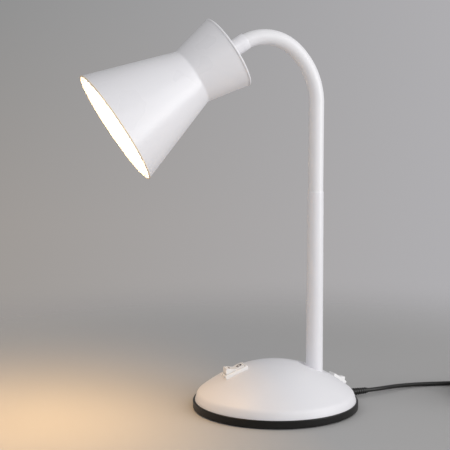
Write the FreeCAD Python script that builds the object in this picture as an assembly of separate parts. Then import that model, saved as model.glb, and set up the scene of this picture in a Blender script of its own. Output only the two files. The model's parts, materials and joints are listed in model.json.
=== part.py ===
"""Gooseneck desk lamp: domed base with a black rim, pole, bendable neck and hourglass shade.

Millimetres. The origin is the centre of the base on the desk, +Z is up, the head hangs over -X and
the pole stands on the +X side. The lamp is symmetric about the XZ plane, apart from its cord and
the small switch beside it.
"""

import FreeCAD
import Part

import math
import os

# Base: black tray and white dome
RIM_RADIUS = 72.0
RIM_TOP = 7.3
RIM_WALL = 1.6
RIM_ROUND = 0.7
TRAY_BOTTOM = 0.8
TRAY_FLOOR = 2.0
PAD_THICKNESS = 1.2
PAD_MARGIN = 8.0
PAD_GAP = 0.3
SKIRT_GAP = 0.2
DOME_HEIGHT = 41.0
COVER_WALL = 2.2
CROWN_FLATNESS = 1.0226
CROWN_SHARE = 0.595
EDGE_ARC = 7.0
SKIRT_SLOPE = 73.0
SKIRT_HEIGHT = 4.48
CUT_OVER = 1.0

# Counterweight and the screws that close the base
WEIGHT_INSET = 26.0
WEIGHT_THICKNESS = 9.0
WEIGHT_CHAMFER = 1.0
BOSS_INSET = 14.0
BOSS_RADIUS = 3.6
BOSS_COUNT = 4
BOSS_FIRST_ANGLE = 45.0
SCREW_RADIUS = 1.5
SCREW_HEAD_RADIUS = 3.0
SCREW_LENGTH = 12.0
SCREW_GAP = 0.05
SCREW_CLEARANCE = 0.2

# Dished seat of the pole
POLE_INSET = 36.5
SEAT_DEPTH = 3.3
SEAT_TILT = 15.0
SEAT_FLAT = 9.5
SEAT_ARC = 4.0
SEAT_SLOPE = 50.0
SEAT_RISE = 1.1
SEAT_LIP_SLOPE = 12.0
SEAT_LIP = 3.2
SEAT_BOSS_RADIUS = 16.0
SEAT_WALL = 3.0

# Pole and its fixing
POLE_RADIUS = 7.5
POLE_WALL = 1.2
POLE_TOP = 189.5
NIPPLE_RADIUS = 5.0
NIPPLE_BORE = 3.2
NIPPLE_GRIP = 14.0
NIPPLE_TAIL = 2.5
THREAD_GAP = 0.05
HOLE_GAP = 0.3
WASHER_RADIUS = 9.5
WASHER_THICKNESS = 1.2
NUT_FLATS = 16.0
NUT_HEIGHT = 5.0
FIT_GAP = 0.1

# Collar on top of the pole
COLLAR_HEIGHT = 1.5
COLLAR_ROUND = 1.0
COLLAR_PLUG = 18.0

# Neck: centre line, sleeve and hose
NECK_STRAIGHT = 72.5
NECK_ARC_LOW = 62.0
NECK_TURN_LOW = 48.0
NECK_ARC_HIGH = 38.5
NECK_TURN = 122.7
SLEEVE_RADIUS = 6.5
SLEEVE_WALL = 0.8
HOSE_WALL = 2.4
HOSE_GAP = 0.1
BALL_GAP = 0.4
FIRST_JOINT = 8.0
LAST_JOINT = 5.5
STRAIGHT_JOINTS = 4
LOW_ARC_JOINTS = 4
HIGH_ARC_JOINTS = 3

# Ferrule between the neck and the shade
FERRULE_RADIUS = 7.15
FERRULE_VISIBLE = 13.0
FERRULE_ROUND = 0.5
FERRULE_SOCKET = 4.5
SLEEVE_ENTRY = 4.2
SPIGOT_LENGTH = 13.5

# Shade, measured from its rear rim towards its mouth
SHADE_LENGTH = 115.0
SHADE_WAIST_AT = 37.6
SHADE_REAR_RADIUS = 32.6
SHADE_WAIST_RADIUS = 24.6
SHADE_MOUTH_RADIUS = 50.5
SHADE_WALL = 0.8
SHADE_WAIST_ROUND = 4.0
SHADE_LIP = 1.4
CAP_AT = 2.0
CAP_THICKNESS = 1.2
CAP_SKIRT = 6.0
CAP_GAP = 0.15
VENT_COUNT = 12
VENT_RADIUS = 2.0
VENT_CIRCLE = 21.0

# Lampholder and bulb
HOLDER_NUT_HEIGHT = 4.0
HOLDER_RADIUS = 19.5
HOLDER_WALL = 1.6
HOLDER_HUB_RADIUS = 8.5
HOLDER_HUB = 7.0
HOLDER_SHOULDER = 5.0
HOLDER_LENGTH = 40.0
INSULATOR_THICKNESS = 4.0
CONTACT_LENGTH = 10.0
CONTACT_WIDTH = 5.0
CONTACT_THICKNESS = 0.6
CONTACT_LIFT = 1.6
CAP_THREAD_RADIUS = 13.2
CAP_THREAD_LENGTH = 20.0
SCREW_SHELL_GAP = 0.25
SCREW_SHELL_WALL = 0.6
CAP_CONE = 4.0
CAP_TIP_RADIUS = 4.5
BULB_RADIUS = 22.5
BULB_REACH = 76.0
BULB_WALL = 0.9
BULB_COLLAR = 1.2
BULB_CAP_WALL = 0.8

# Front rocker switch
FRONT_INSET = 35.5
FRONT_LENGTH = 21.3
FRONT_WIDTH = 15.0
FRONT_BEZEL = 3.2
FRONT_DEPTH = 12.0
FRONT_REACH = 8.8
FRONT_TAB_COUNT = 3

# Rear rocker switch
REAR_INSET = 11.0
REAR_ANGLE = 9.0
REAR_LENGTH = 15.0
REAR_WIDTH = 10.5
REAR_BEZEL = 2.9
REAR_DEPTH = 8.0
REAR_REACH = 6.1
REAR_TAB_COUNT = 2

# What both switches share
SWITCH_POCKET = 0.7
SWITCH_LIP = 1.1
SWITCH_EDGE = 0.7
SWITCH_GAP = 0.15
ROCKER_SLOPE = 13.5
ROCKER_TILT = 13.5
ROCKER_CENTRE = 0.28
ROCKER_SIDE_GAP = 0.25
ROCKER_END_GAP = 0.35
ROCKER_LOW_ANGLE = 10.0
ROCKER_HUB = 0.5
PIVOT_DEPTH = 1.4
PIVOT_RADIUS = 0.9
PIVOT_LENGTH = 0.6
PIVOT_GAP = 0.05
TAB_WIDTH = 4.0
TAB_THICKNESS = 0.8
TAB_LENGTH = 5.0

# Mains lead: the points of its free stretch to the coil, each by its X and Y from the tip of the
# strain relief and by its height over the desk
CORD_RADIUS = 1.9
CORD_ANGLE = 9.0
CORD_HEIGHT = 5.2
RELIEF_REACH = 20.0
RELIEF_TIP_RADIUS = 2.4
RELIEF_ROOT_RADIUS = 3.0
RELIEF_FLANGE_RADIUS = 3.5
RELIEF_FLANGE = 2.0
RELIEF_NECK_RADIUS = 2.6
RELIEF_INNER_GAP = 0.7
RELIEF_OUTER_GAP = 0.1
RELIEF_GAP = 0.15
LEAD_POINTS = (
    (11.883, 1.882, CORD_HEIGHT),
    (30.533, 11.508, 4.0),
    (51.833, 17.908, 2.7),
    (72.833, 18.408, 2.05),
    (90.733, 15.208, 2.3),
    (105.133, 11.208, 2.65),
)
LEAD_END = (116.433, 7.118, 2.65)
ARC_SHARE = 0.45

# Coil of the spare length, wound clockwise from above
COIL_RADIUS = 27.0
COIL_PITCH = 4.95
COIL_LAYER_TURNS = 2.0
COIL_LAYERS = 4
COIL_LAST_RADIUS = 20.0
COIL_EXIT_RADIUS = 17.0
COIL_SAMPLES = 24
TIE_WIDTH = 9.0
TIE_WALL = 0.6
TIE_GAP = 0.15

# Plug on top of the coil
PLUG_TAIL = 20.0
PLUG_TAIL_RADIUS = 3.6
PLUG_LENGTH = 36.0
PLUG_WIDTH = 35.0
PLUG_NECK_WIDTH = 17.0
PLUG_THICKNESS = 13.6
PLUG_ROUND = 3.0
PLUG_SEAT = 0.3
PIN_RADIUS = 2.0
PIN_LENGTH = 19.0
PIN_SPACING = 19.0

Z_AXIS = FreeCAD.Vector(0, 0, 1)
Y_AXIS = FreeCAD.Vector(0, 1, 0)


def vec(x, y, z):
    """Return a point or direction."""
    return FreeCAD.Vector(x, y, z)


def sin(degrees):
    """Return the sine of an angle in degrees."""
    return math.sin(math.radians(degrees))


def cos(degrees):
    """Return the cosine of an angle in degrees."""
    return math.cos(math.radians(degrees))


def tan(degrees):
    """Return the tangent of an angle in degrees."""
    return math.tan(math.radians(degrees))


def turned(path):
    """Revolve a closed half profile about Z.

    The path is a list of (radius, height) corners. A third value in a corner, itself a pair,
    is a point that the arc from the corner before passes through.
    """
    edges = []
    count = len(path)
    for index in range(count):
        start = path[index]
        end = path[(index + 1) % count]
        first = vec(start[0], 0, start[1])
        last = vec(end[0], 0, end[1])
        if first.distanceToPoint(last) < 1e-9:
            continue
        if len(end) == 3:
            middle = vec(end[2][0], 0, end[2][1])
            edges.append(Part.Arc(first, middle, last).toShape())
        else:
            edges.append(Part.makeLine(first, last))
    face = Part.Face(Part.Wire(edges))
    return face.revolve(vec(0, 0, 0), Z_AXIS, 360)


def disc(radius, low, high):
    """Return a solid disc about Z between two heights."""
    return Part.makeCylinder(radius, high - low, vec(0, 0, low))


def ring(outer, inner, low, high):
    """Return a flat ring about Z between two heights."""
    return disc(outer, low, high).cut(disc(inner, low, high))


def hexagon(flats, low, high):
    """Return a hexagonal prism about Z, by its width across flats."""
    corner = flats / 2 / cos(30)
    points = [vec(corner * cos(60 * k), corner * sin(60 * k), low) for k in range(7)]
    return Part.Face(Part.makePolygon(points)).extrude(vec(0, 0, high - low))


def block(length, width, low, high):
    """Return a box centred on Z between two heights."""
    return Part.makeBox(length, width, high - low, vec(-length / 2, -width / 2, low))


def arc_corner(centre, radius, slope_from, slope_to):
    """Return the end of a profile arc whose surface slopes down between two angles.

    The result is a corner for turned(): the end point, with the arc's middle as its third value.
    """
    middle = (slope_from + slope_to) / 2
    end = (centre[0] + radius * sin(slope_to), centre[1] + radius * cos(slope_to))
    return (*end, (centre[0] + radius * sin(middle), centre[1] + radius * cos(middle)))


def moved(shape, origin, direction_x, direction_z):
    """Place a shape built about the origin, by where its own X and Z directions go."""
    x_axis = vec(*direction_x).normalize()
    z_axis = vec(*direction_z).normalize()
    y_axis = z_axis.cross(x_axis)
    matrix = FreeCAD.Matrix(
        x_axis.x, y_axis.x, z_axis.x, origin[0],
        x_axis.y, y_axis.y, z_axis.y, origin[1],
        x_axis.z, y_axis.z, z_axis.z, origin[2],
        0, 0, 0, 1,
    )
    result = shape.copy()
    result.Placement = FreeCAD.Placement(matrix).multiply(result.Placement)
    return result


# Places on the base, all measured in from its rim
POLE_X = RIM_RADIUS - POLE_INSET
FRONT_AT = RIM_RADIUS - FRONT_INSET
REAR_AT = RIM_RADIUS - REAR_INSET
BOSS_CIRCLE = RIM_RADIUS - BOSS_INSET
WEIGHT_RADIUS = RIM_RADIUS - WEIGHT_INSET
RELIEF_TIP = RIM_RADIUS + RELIEF_REACH

# Shape of the dome, worked out once: crown arc, flank arc, edge arc and straight skirt.
# The crown is a little flatter than the one arc that would span the whole dome.
SKIRT_RADIUS = RIM_RADIUS - RIM_WALL - SKIRT_GAP
FLOOR_TOP = TRAY_BOTTOM + TRAY_FLOOR
RELIEF_FLANGE_AT = SKIRT_RADIUS - COVER_WALL - RELIEF_INNER_GAP
DOME_RISE = DOME_HEIGHT - RIM_TOP
CROWN_ARC = CROWN_FLATNESS * (SKIRT_RADIUS**2 + DOME_RISE**2) / (2 * DOME_RISE)
CROWN_CENTRE = (0.0, DOME_HEIGHT - CROWN_ARC)
CROWN_END = CROWN_SHARE * SKIRT_RADIUS
CROWN_SLOPE = math.degrees(math.asin(CROWN_END / CROWN_ARC))
CROWN_END_Z = CROWN_CENTRE[1] + CROWN_ARC * cos(CROWN_SLOPE)
EDGE_CENTRE = (
    SKIRT_RADIUS - SKIRT_HEIGHT / tan(SKIRT_SLOPE) - EDGE_ARC * sin(SKIRT_SLOPE),
    RIM_TOP + SKIRT_HEIGHT - EDGE_ARC * cos(SKIRT_SLOPE),
)
FLANK_SPAN = EDGE_CENTRE[0] - CROWN_END
FLANK_FALL = CROWN_END_Z - EDGE_CENTRE[1]
FLANK_ARC = (FLANK_SPAN**2 + FLANK_FALL**2 - EDGE_ARC**2) / (
    2 * (FLANK_FALL * cos(CROWN_SLOPE) - FLANK_SPAN * sin(CROWN_SLOPE) - EDGE_ARC)
)
FLANK_CENTRE = (
    CROWN_END - FLANK_ARC * sin(CROWN_SLOPE),
    CROWN_END_Z - FLANK_ARC * cos(CROWN_SLOPE),
)
FLANK_SLOPE = math.degrees(
    math.atan2(EDGE_CENTRE[0] - FLANK_CENTRE[0], EDGE_CENTRE[1] - FLANK_CENTRE[1])
)


def dome_solid(inset, bottom):
    """Return the dome as a full solid, with its surface moved in by inset."""
    crown = arc_corner(CROWN_CENTRE, CROWN_ARC - inset, 0, CROWN_SLOPE)
    flank = arc_corner(FLANK_CENTRE, FLANK_ARC - inset, CROWN_SLOPE, FLANK_SLOPE)
    edge = arc_corner(EDGE_CENTRE, EDGE_ARC - inset, FLANK_SLOPE, SKIRT_SLOPE)
    skirt_x = SKIRT_RADIUS - inset
    skirt_z = edge[1] - (skirt_x - edge[0]) * tan(SKIRT_SLOPE)
    return turned([
        (0, bottom),
        (0, DOME_HEIGHT - inset),
        crown,
        flank,
        edge,
        (skirt_x, skirt_z),
        (skirt_x, bottom),
    ])


def dome_surface(radius):
    """Return the dome's height and its slope in degrees at a distance from the axis."""
    if radius <= CROWN_END:
        slope = math.degrees(math.asin(radius / CROWN_ARC))
        return CROWN_CENTRE[1] + CROWN_ARC * cos(slope), slope
    slope = math.degrees(math.asin((radius - FLANK_CENTRE[0]) / FLANK_ARC))
    return FLANK_CENTRE[1] + FLANK_ARC * cos(slope), slope


def boss_angles():
    """Return the angles of the screw bosses about the base's axis."""
    return [BOSS_FIRST_ANGLE + 360 / BOSS_COUNT * k for k in range(BOSS_COUNT)]


def around(shape, angle, radius=0.0):
    """Return a copy moved out along X and then turned about Z."""
    result = shape.copy()
    result.translate(vec(radius, 0, 0))
    result.rotate(vec(0, 0, 0), Z_AXIS, angle)
    return result


# Seat of the pole: a floor that leans with the dome, and where it stands
SEAT_Z = dome_surface(POLE_X)[0] - SEAT_DEPTH
SEAT_BOSS_BOTTOM = SEAT_Z - SEAT_FLAT * sin(SEAT_TILT) - SEAT_WALL
SEAT_NORMAL = (sin(SEAT_TILT), 0, cos(SEAT_TILT))
SEAT_ALONG = (cos(SEAT_TILT), 0, -sin(SEAT_TILT))


def seat_tool():
    """Return what is cut out of the dome for the seat: a soft-edged dish."""
    low_mid = (SEAT_FLAT + SEAT_ARC * sin(SEAT_SLOPE / 2), SEAT_ARC * (1 - cos(SEAT_SLOPE / 2)))
    low = (SEAT_FLAT + SEAT_ARC * sin(SEAT_SLOPE), SEAT_ARC * (1 - cos(SEAT_SLOPE)))
    wall = (low[0] + SEAT_RISE / tan(SEAT_SLOPE), low[1] + SEAT_RISE)
    middle = (SEAT_SLOPE + SEAT_LIP_SLOPE) / 2
    high_mid = (
        wall[0] + SEAT_ARC * (sin(SEAT_SLOPE) - sin(middle)),
        wall[1] + SEAT_ARC * (cos(middle) - cos(SEAT_SLOPE)),
    )
    high = (
        wall[0] + SEAT_ARC * (sin(SEAT_SLOPE) - sin(SEAT_LIP_SLOPE)),
        wall[1] + SEAT_ARC * (cos(SEAT_LIP_SLOPE) - cos(SEAT_SLOPE)),
    )
    lip = (high[0] + SEAT_LIP, high[1] + SEAT_LIP * tan(SEAT_LIP_SLOPE))
    top = DOME_HEIGHT
    dish = turned([
        (0, 0),
        (SEAT_FLAT, 0),
        (*low, low_mid),
        wall,
        (*high, high_mid),
        lip,
        (lip[0], top),
        (0, top),
    ])
    return moved(dish, (POLE_X, 0, SEAT_Z), SEAT_ALONG, SEAT_NORMAL)


class RockerSwitch:
    """A rocker switch with its bezel let into the dome.

    It is built with its bezel's middle over the origin, X along the switch and Z out of the dome.
    """

    def __init__(self, length, width, bezel, depth, reach, tabs):
        self.length = length
        self.width = width
        self.top = bezel - SWITCH_POCKET
        self.depth = depth
        self.reach = reach
        self.tabs = tabs
        self.body_length = length - 2 * SWITCH_LIP
        self.body_width = width - 2 * SWITCH_LIP
        self.well_length = 2 * (reach + ROCKER_END_GAP)
        self.rocker_width = self.body_width - 2 * (PIVOT_LENGTH + 2 * ROCKER_SIDE_GAP + FIT_GAP)
        self.well_width = self.rocker_width + 2 * ROCKER_SIDE_GAP
        self.pivot = self.top - PIVOT_DEPTH
        self.bottom = -depth

    def cut_out(self):
        """Return what the dome loses: a shallow pocket and the opening under it."""
        pocket = block(
            self.length + 2 * SWITCH_GAP, self.width + 2 * SWITCH_GAP, -SWITCH_POCKET, self.depth
        )
        opening = block(
            self.body_length + 2 * SWITCH_GAP, self.body_width + 2 * SWITCH_GAP, self.bottom, 0
        )
        return pocket.fuse(opening)

    def housing(self):
        """Return the bezel and body in one, with the well that the rocker moves in."""
        bezel = block(self.length, self.width, -SWITCH_POCKET, self.top)
        upper = [e for e in bezel.Edges if e.CenterOfMass.z > -SWITCH_POCKET + SWITCH_EDGE]
        bezel = bezel.makeFillet(SWITCH_EDGE, upper)
        body = block(self.body_length, self.body_width, self.bottom, 0)
        hub = self.reach * ROCKER_HUB + 2 * ROCKER_END_GAP
        well = block(self.well_length, self.well_width, self.pivot - hub, self.top + CUT_OVER)
        holes = Part.makeCylinder(
            PIVOT_RADIUS + PIVOT_GAP,
            self.well_width + 2 * PIVOT_LENGTH,
            vec(0, -self.well_width / 2 - PIVOT_LENGTH, self.pivot),
            Y_AXIS,
        )
        return bezel.fuse(body).removeSplitter().cut(well).cut(holes)

    def rocker(self, side):
        """Return the rocker, tipped so that the end on the given side of X is up."""
        slope = tan(ROCKER_SLOPE)
        height = self.reach * ROCKER_CENTRE
        root = math.sqrt((height * slope) ** 2 + (1 + slope**2) * (self.reach**2 - height**2))
        end_x = (root - height * slope) / (1 + slope**2)
        end_z = height + end_x * slope
        low_x = self.reach * cos(ROCKER_LOW_ANGLE)
        low_z = -self.reach * sin(ROCKER_LOW_ANGLE)
        hub = self.reach * ROCKER_HUB
        corners = [
            vec(0, 0, height),
            vec(end_x, 0, end_z),
            vec(low_x, 0, low_z),
            vec(hub * sin(45), 0, -hub * cos(45)),
            vec(-hub * sin(45), 0, -hub * cos(45)),
            vec(-low_x, 0, low_z),
            vec(-end_x, 0, end_z),
        ]
        edges = [
            Part.makeLine(corners[0], corners[1]),
            Part.Arc(corners[1], vec(self.reach, 0, 0), corners[2]).toShape(),
            Part.makeLine(corners[2], corners[3]),
            Part.Arc(corners[3], vec(0, 0, -hub), corners[4]).toShape(),
            Part.makeLine(corners[4], corners[5]),
            Part.Arc(corners[5], vec(-self.reach, 0, 0), corners[6]).toShape(),
            Part.makeLine(corners[6], corners[0]),
        ]
        half = self.rocker_width / 2
        paddle = Part.Face(Part.Wire(edges)).extrude(vec(0, self.rocker_width, 0))
        paddle.translate(vec(0, -half, 0))
        pins = Part.makeCylinder(
            PIVOT_RADIUS,
            2 * (half + ROCKER_SIDE_GAP + PIVOT_LENGTH - FIT_GAP),
            vec(0, -half - ROCKER_SIDE_GAP - PIVOT_LENGTH + FIT_GAP, 0),
            Y_AXIS,
        )
        result = paddle.fuse(pins)
        result.rotate(vec(0, 0, 0), Y_AXIS, -side * ROCKER_TILT)
        result.translate(vec(0, 0, self.pivot))
        return result

    def terminals(self):
        """Return the blade terminals under the body."""
        step = self.body_length / self.tabs
        tabs = []
        for index in range(self.tabs):
            tab = block(TAB_THICKNESS, TAB_WIDTH, self.bottom - TAB_LENGTH, self.bottom)
            tab.translate(vec(step * (index + 0.5) - self.body_length / 2, 0, 0))
            tabs.append(tab)
        return Part.makeCompound(tabs)


FRONT_SWITCH = RockerSwitch(
    FRONT_LENGTH, FRONT_WIDTH, FRONT_BEZEL, FRONT_DEPTH, FRONT_REACH, FRONT_TAB_COUNT
)
REAR_SWITCH = RockerSwitch(
    REAR_LENGTH, REAR_WIDTH, REAR_BEZEL, REAR_DEPTH, REAR_REACH, REAR_TAB_COUNT
)


def on_dome(shape, radius, angle):
    """Stand a shape on the dome, with its X pointing down the slope."""
    height, slope = dome_surface(radius)
    placed = moved(shape, (radius, 0, height), (cos(slope), 0, -sin(slope)), (sin(slope), 0, cos(slope)))
    return around(placed, angle)


def cord_bore(radius, start, end, open_to=CORD_HEIGHT):
    """Return a round hole along the lead's way out of the base, between two distances.

    It widens to a slot up or down to the height that it is open to.
    """
    bore = Part.makeCylinder(radius, end - start, vec(start, 0, CORD_HEIGHT), vec(1, 0, 0))
    if open_to != CORD_HEIGHT:
        low = min(open_to, CORD_HEIGHT)
        high = max(open_to, CORD_HEIGHT)
        slot = Part.makeBox(end - start, 2 * radius, high - low, vec(start, -radius, low))
        bore = bore.fuse(slot).removeSplitter()
    return around(bore, CORD_ANGLE)


def make_base():
    """Return the tray, pad, cover, counterweight and screws."""
    pad_radius = RIM_RADIUS - PAD_MARGIN
    flange_start = RELIEF_FLANGE_AT - RELIEF_FLANGE - RELIEF_GAP
    hole_radius = RELIEF_NECK_RADIUS + RELIEF_GAP
    flange_end = RELIEF_FLANGE_AT + RELIEF_GAP
    tray_slot = cord_bore(hole_radius, flange_start, 2 * RIM_RADIUS, 2 * RIM_TOP)
    cover_slot = cord_bore(hole_radius, flange_start, 2 * RIM_RADIUS, 0)
    relief_pocket = cord_bore(RELIEF_FLANGE_RADIUS + RELIEF_GAP, flange_start, flange_end, RIM_TOP)
    tray = turned([
        (0, PAD_THICKNESS),
        (pad_radius + PAD_GAP, PAD_THICKNESS),
        (pad_radius + PAD_GAP, TRAY_BOTTOM),
        (RIM_RADIUS - RIM_ROUND, TRAY_BOTTOM),
        (RIM_RADIUS, TRAY_BOTTOM + RIM_ROUND,
         (RIM_RADIUS - RIM_ROUND * (1 - sin(45)), TRAY_BOTTOM + RIM_ROUND * (1 - cos(45)))),
        (RIM_RADIUS, RIM_TOP - RIM_ROUND),
        (RIM_RADIUS - RIM_ROUND, RIM_TOP,
         (RIM_RADIUS - RIM_ROUND * (1 - sin(45)), RIM_TOP - RIM_ROUND * (1 - cos(45)))),
        (RIM_RADIUS - RIM_WALL, RIM_TOP),
        (RIM_RADIUS - RIM_WALL, FLOOR_TOP),
        (0, FLOOR_TOP),
    ])
    head_height = SCREW_HEAD_RADIUS - SCREW_RADIUS
    grow = SCREW_CLEARANCE
    sink = Part.makeCone(
        SCREW_HEAD_RADIUS + grow, SCREW_RADIUS + grow, head_height, vec(0, 0, PAD_THICKNESS)
    ).fuse(disc(SCREW_RADIUS + grow, PAD_THICKNESS, FLOOR_TOP))
    screw = Part.makeCone(
        SCREW_HEAD_RADIUS, SCREW_RADIUS, head_height, vec(0, 0, PAD_THICKNESS)
    ).fuse(disc(SCREW_RADIUS, PAD_THICKNESS + head_height, SCREW_LENGTH))
    outer = dome_solid(0, FLOOR_TOP)
    cover = outer.cut(dome_solid(COVER_WALL, FLOOR_TOP - CUT_OVER))
    seat_boss = Part.makeCylinder(SEAT_BOSS_RADIUS, DOME_HEIGHT, vec(POLE_X, 0, SEAT_BOSS_BOTTOM))
    cover = cover.fuse(seat_boss.common(outer))
    screws = []
    for angle in boss_angles():
        tray = tray.cut(around(sink, angle, BOSS_CIRCLE))
        boss = around(disc(BOSS_RADIUS, FLOOR_TOP, DOME_HEIGHT), angle, BOSS_CIRCLE)
        cover = cover.fuse(boss.common(outer))
        pilot = disc(SCREW_RADIUS + SCREW_GAP, FLOOR_TOP, SCREW_LENGTH + SCREW_RADIUS)
        cover = cover.cut(around(pilot, angle, BOSS_CIRCLE))
        screws.append(around(screw, angle, BOSS_CIRCLE))
    cover = cover.cut(seat_tool())
    cover = cover.cut(Part.makeCylinder(NIPPLE_RADIUS + HOLE_GAP, DOME_HEIGHT, vec(POLE_X, 0, 0)))
    cover = cover.cut(on_dome(FRONT_SWITCH.cut_out(), FRONT_AT, 180))
    cover = cover.cut(on_dome(REAR_SWITCH.cut_out(), REAR_AT, REAR_ANGLE))
    weight_top = FLOOR_TOP + WEIGHT_THICKNESS
    weight = turned([
        (0, FLOOR_TOP),
        (WEIGHT_RADIUS, FLOOR_TOP),
        (WEIGHT_RADIUS, weight_top - WEIGHT_CHAMFER),
        (WEIGHT_RADIUS - WEIGHT_CHAMFER, weight_top),
        (0, weight_top),
    ])
    return {
        "foot_pad": disc(pad_radius, 0, PAD_THICKNESS),
        "base_tray": tray.cut(tray_slot).cut(relief_pocket).removeSplitter(),
        "base_cover": cover.cut(cover_slot).removeSplitter(),
        "counterweight": weight,
        "base_screws": Part.makeCompound(screws),
    }


def make_switches():
    """Return both rocker switches where they sit on the dome."""
    parts = {}
    for name, switch, radius, angle, side in (
        ("front", FRONT_SWITCH, FRONT_AT, 180, 1),
        ("rear", REAR_SWITCH, REAR_AT, REAR_ANGLE, 1),
    ):
        parts[name + "_switch_housing"] = on_dome(switch.housing(), radius, angle)
        parts[name + "_switch_rocker"] = on_dome(switch.rocker(side), radius, angle)
        parts[name + "_switch_terminals"] = on_dome(switch.terminals(), radius, angle)
    return parts


def nose(outer, inner):
    """Return a tube's rounded end: the part past its plane, inside the ball about the origin."""
    ball = SLEEVE_RADIUS
    outer_z = math.sqrt(max(ball**2 - outer**2, 0.0))
    inner_z = math.sqrt(ball**2 - inner**2)
    middle = (math.atan2(outer, outer_z) + math.atan2(inner, inner_z)) / 2
    return turned([
        (inner, 0),
        (outer, 0),
        (outer, outer_z),
        (inner, inner_z, (ball * math.sin(middle), ball * math.cos(middle))),
    ])


def neck_frame(distance):
    """Return the point of the neck's centre line at a distance from its start, and its lean.

    The lean is the angle in degrees from straight up, towards -X.
    """
    low_end = NECK_STRAIGHT + NECK_ARC_LOW * math.radians(NECK_TURN_LOW)
    x = POLE_X
    z = POLE_TOP + COLLAR_HEIGHT + min(distance, NECK_STRAIGHT)
    if distance <= NECK_STRAIGHT:
        return vec(x, 0, z), 0.0
    lean = math.degrees((min(distance, low_end) - NECK_STRAIGHT) / NECK_ARC_LOW)
    x -= NECK_ARC_LOW * (1 - cos(lean))
    z += NECK_ARC_LOW * sin(lean)
    if distance <= low_end:
        return vec(x, 0, z), lean
    final = lean + math.degrees((distance - low_end) / NECK_ARC_HIGH)
    x -= NECK_ARC_HIGH * (cos(lean) - cos(final))
    z += NECK_ARC_HIGH * (sin(final) - sin(lean))
    return vec(x, 0, z), final


LOW_ARC_LENGTH = NECK_ARC_LOW * math.radians(NECK_TURN_LOW)
HIGH_ARC_LENGTH = NECK_ARC_HIGH * math.radians(NECK_TURN - NECK_TURN_LOW)
NECK_LENGTH = NECK_STRAIGHT + LOW_ARC_LENGTH + HIGH_ARC_LENGTH
HOSE_RADIUS = SLEEVE_RADIUS - SLEEVE_WALL - HOSE_GAP
HOSE_BORE = HOSE_RADIUS - HOSE_WALL


def joint_distances():
    """Return how far along the neck each of its joints lies."""
    step = (NECK_STRAIGHT - FIRST_JOINT) / STRAIGHT_JOINTS
    places = [FIRST_JOINT + step * k for k in range(STRAIGHT_JOINTS)]
    step = LOW_ARC_LENGTH / LOW_ARC_JOINTS
    places += [NECK_STRAIGHT + step * k for k in range(LOW_ARC_JOINTS + 1)]
    step = (HIGH_ARC_LENGTH - LAST_JOINT) / HIGH_ARC_JOINTS
    low_end = NECK_STRAIGHT + LOW_ARC_LENGTH
    return places + [low_end + step * (k + 1) for k in range(HIGH_ARC_JOINTS)]


def tangent(lean):
    """Return the neck's direction at a lean."""
    return (-sin(lean), 0, cos(lean))


def across(lean):
    """Return the direction square to the neck's, in its plane, on the outer side of the bend."""
    return (cos(lean), 0, sin(lean))


def neck_tube(start, end, outer, inner):
    """Return a tube along the neck between two distances that share one straight or one arc."""
    point, lean = neck_frame(start)
    straight = ring(outer, inner, 0, end - start)
    end_lean = neck_frame(end)[1]
    if end_lean - lean < 1e-6:
        return moved(straight, point, across(lean), tangent(lean))
    radius = (end - start) / math.radians(end_lean - lean)
    centre = point - vec(*across(lean)) * radius
    way = vec(*tangent(lean))
    rims = [Part.Wire(Part.makeCircle(size, point, way)) for size in (outer, inner)]
    section = Part.makeFace(rims, "Part::FaceMakerBullseye")
    return section.revolve(centre, vec(0, -1, 0), end_lean - lean)


def with_nose(tube, at, outer, inner):
    """Return a neck tube with the rounded end that its next link turns on."""
    point, lean = neck_frame(at)
    end = moved(nose(outer, inner), point, across(lean), tangent(lean))
    return tube.fuse(end).removeSplitter()


def with_socket(tube, at):
    """Return a neck tube hollowed at its start to clear the rounded end before it."""
    return tube.cut(Part.makeSphere(SLEEVE_RADIUS + BALL_GAP, neck_frame(at)[0]))


def make_neck():
    """Return the links of the neck: lengths of sleeve and of the metal hose inside it."""
    places = joint_distances()
    bore = SLEEVE_RADIUS - SLEEVE_WALL
    first = neck_tube(0, places[0], SLEEVE_RADIUS, bore)
    parts = {"neck_sleeve_00": with_nose(first, places[0], SLEEVE_RADIUS, bore)}
    for index in range(len(places) - 1):
        start = places[index]
        end = places[index + 1]
        for name, outer, inner in (
            ("sleeve", SLEEVE_RADIUS, bore),
            ("hose", HOSE_RADIUS, HOSE_BORE),
        ):
            link = with_nose(neck_tube(start, end, outer, inner), end, outer, inner)
            parts[f"neck_{name}_{index + 1:02d}"] = with_socket(link, start)
    last = neck_tube(places[-1], NECK_LENGTH, SLEEVE_RADIUS, bore)
    point, lean = neck_frame(NECK_LENGTH)
    entry = moved(ring(SLEEVE_RADIUS, bore, 0, SLEEVE_ENTRY), point, across(lean), tangent(lean))
    last = last.fuse(entry).removeSplitter()
    parts[f"neck_sleeve_{len(places):02d}"] = with_socket(last, places[-1])
    return parts


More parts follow.
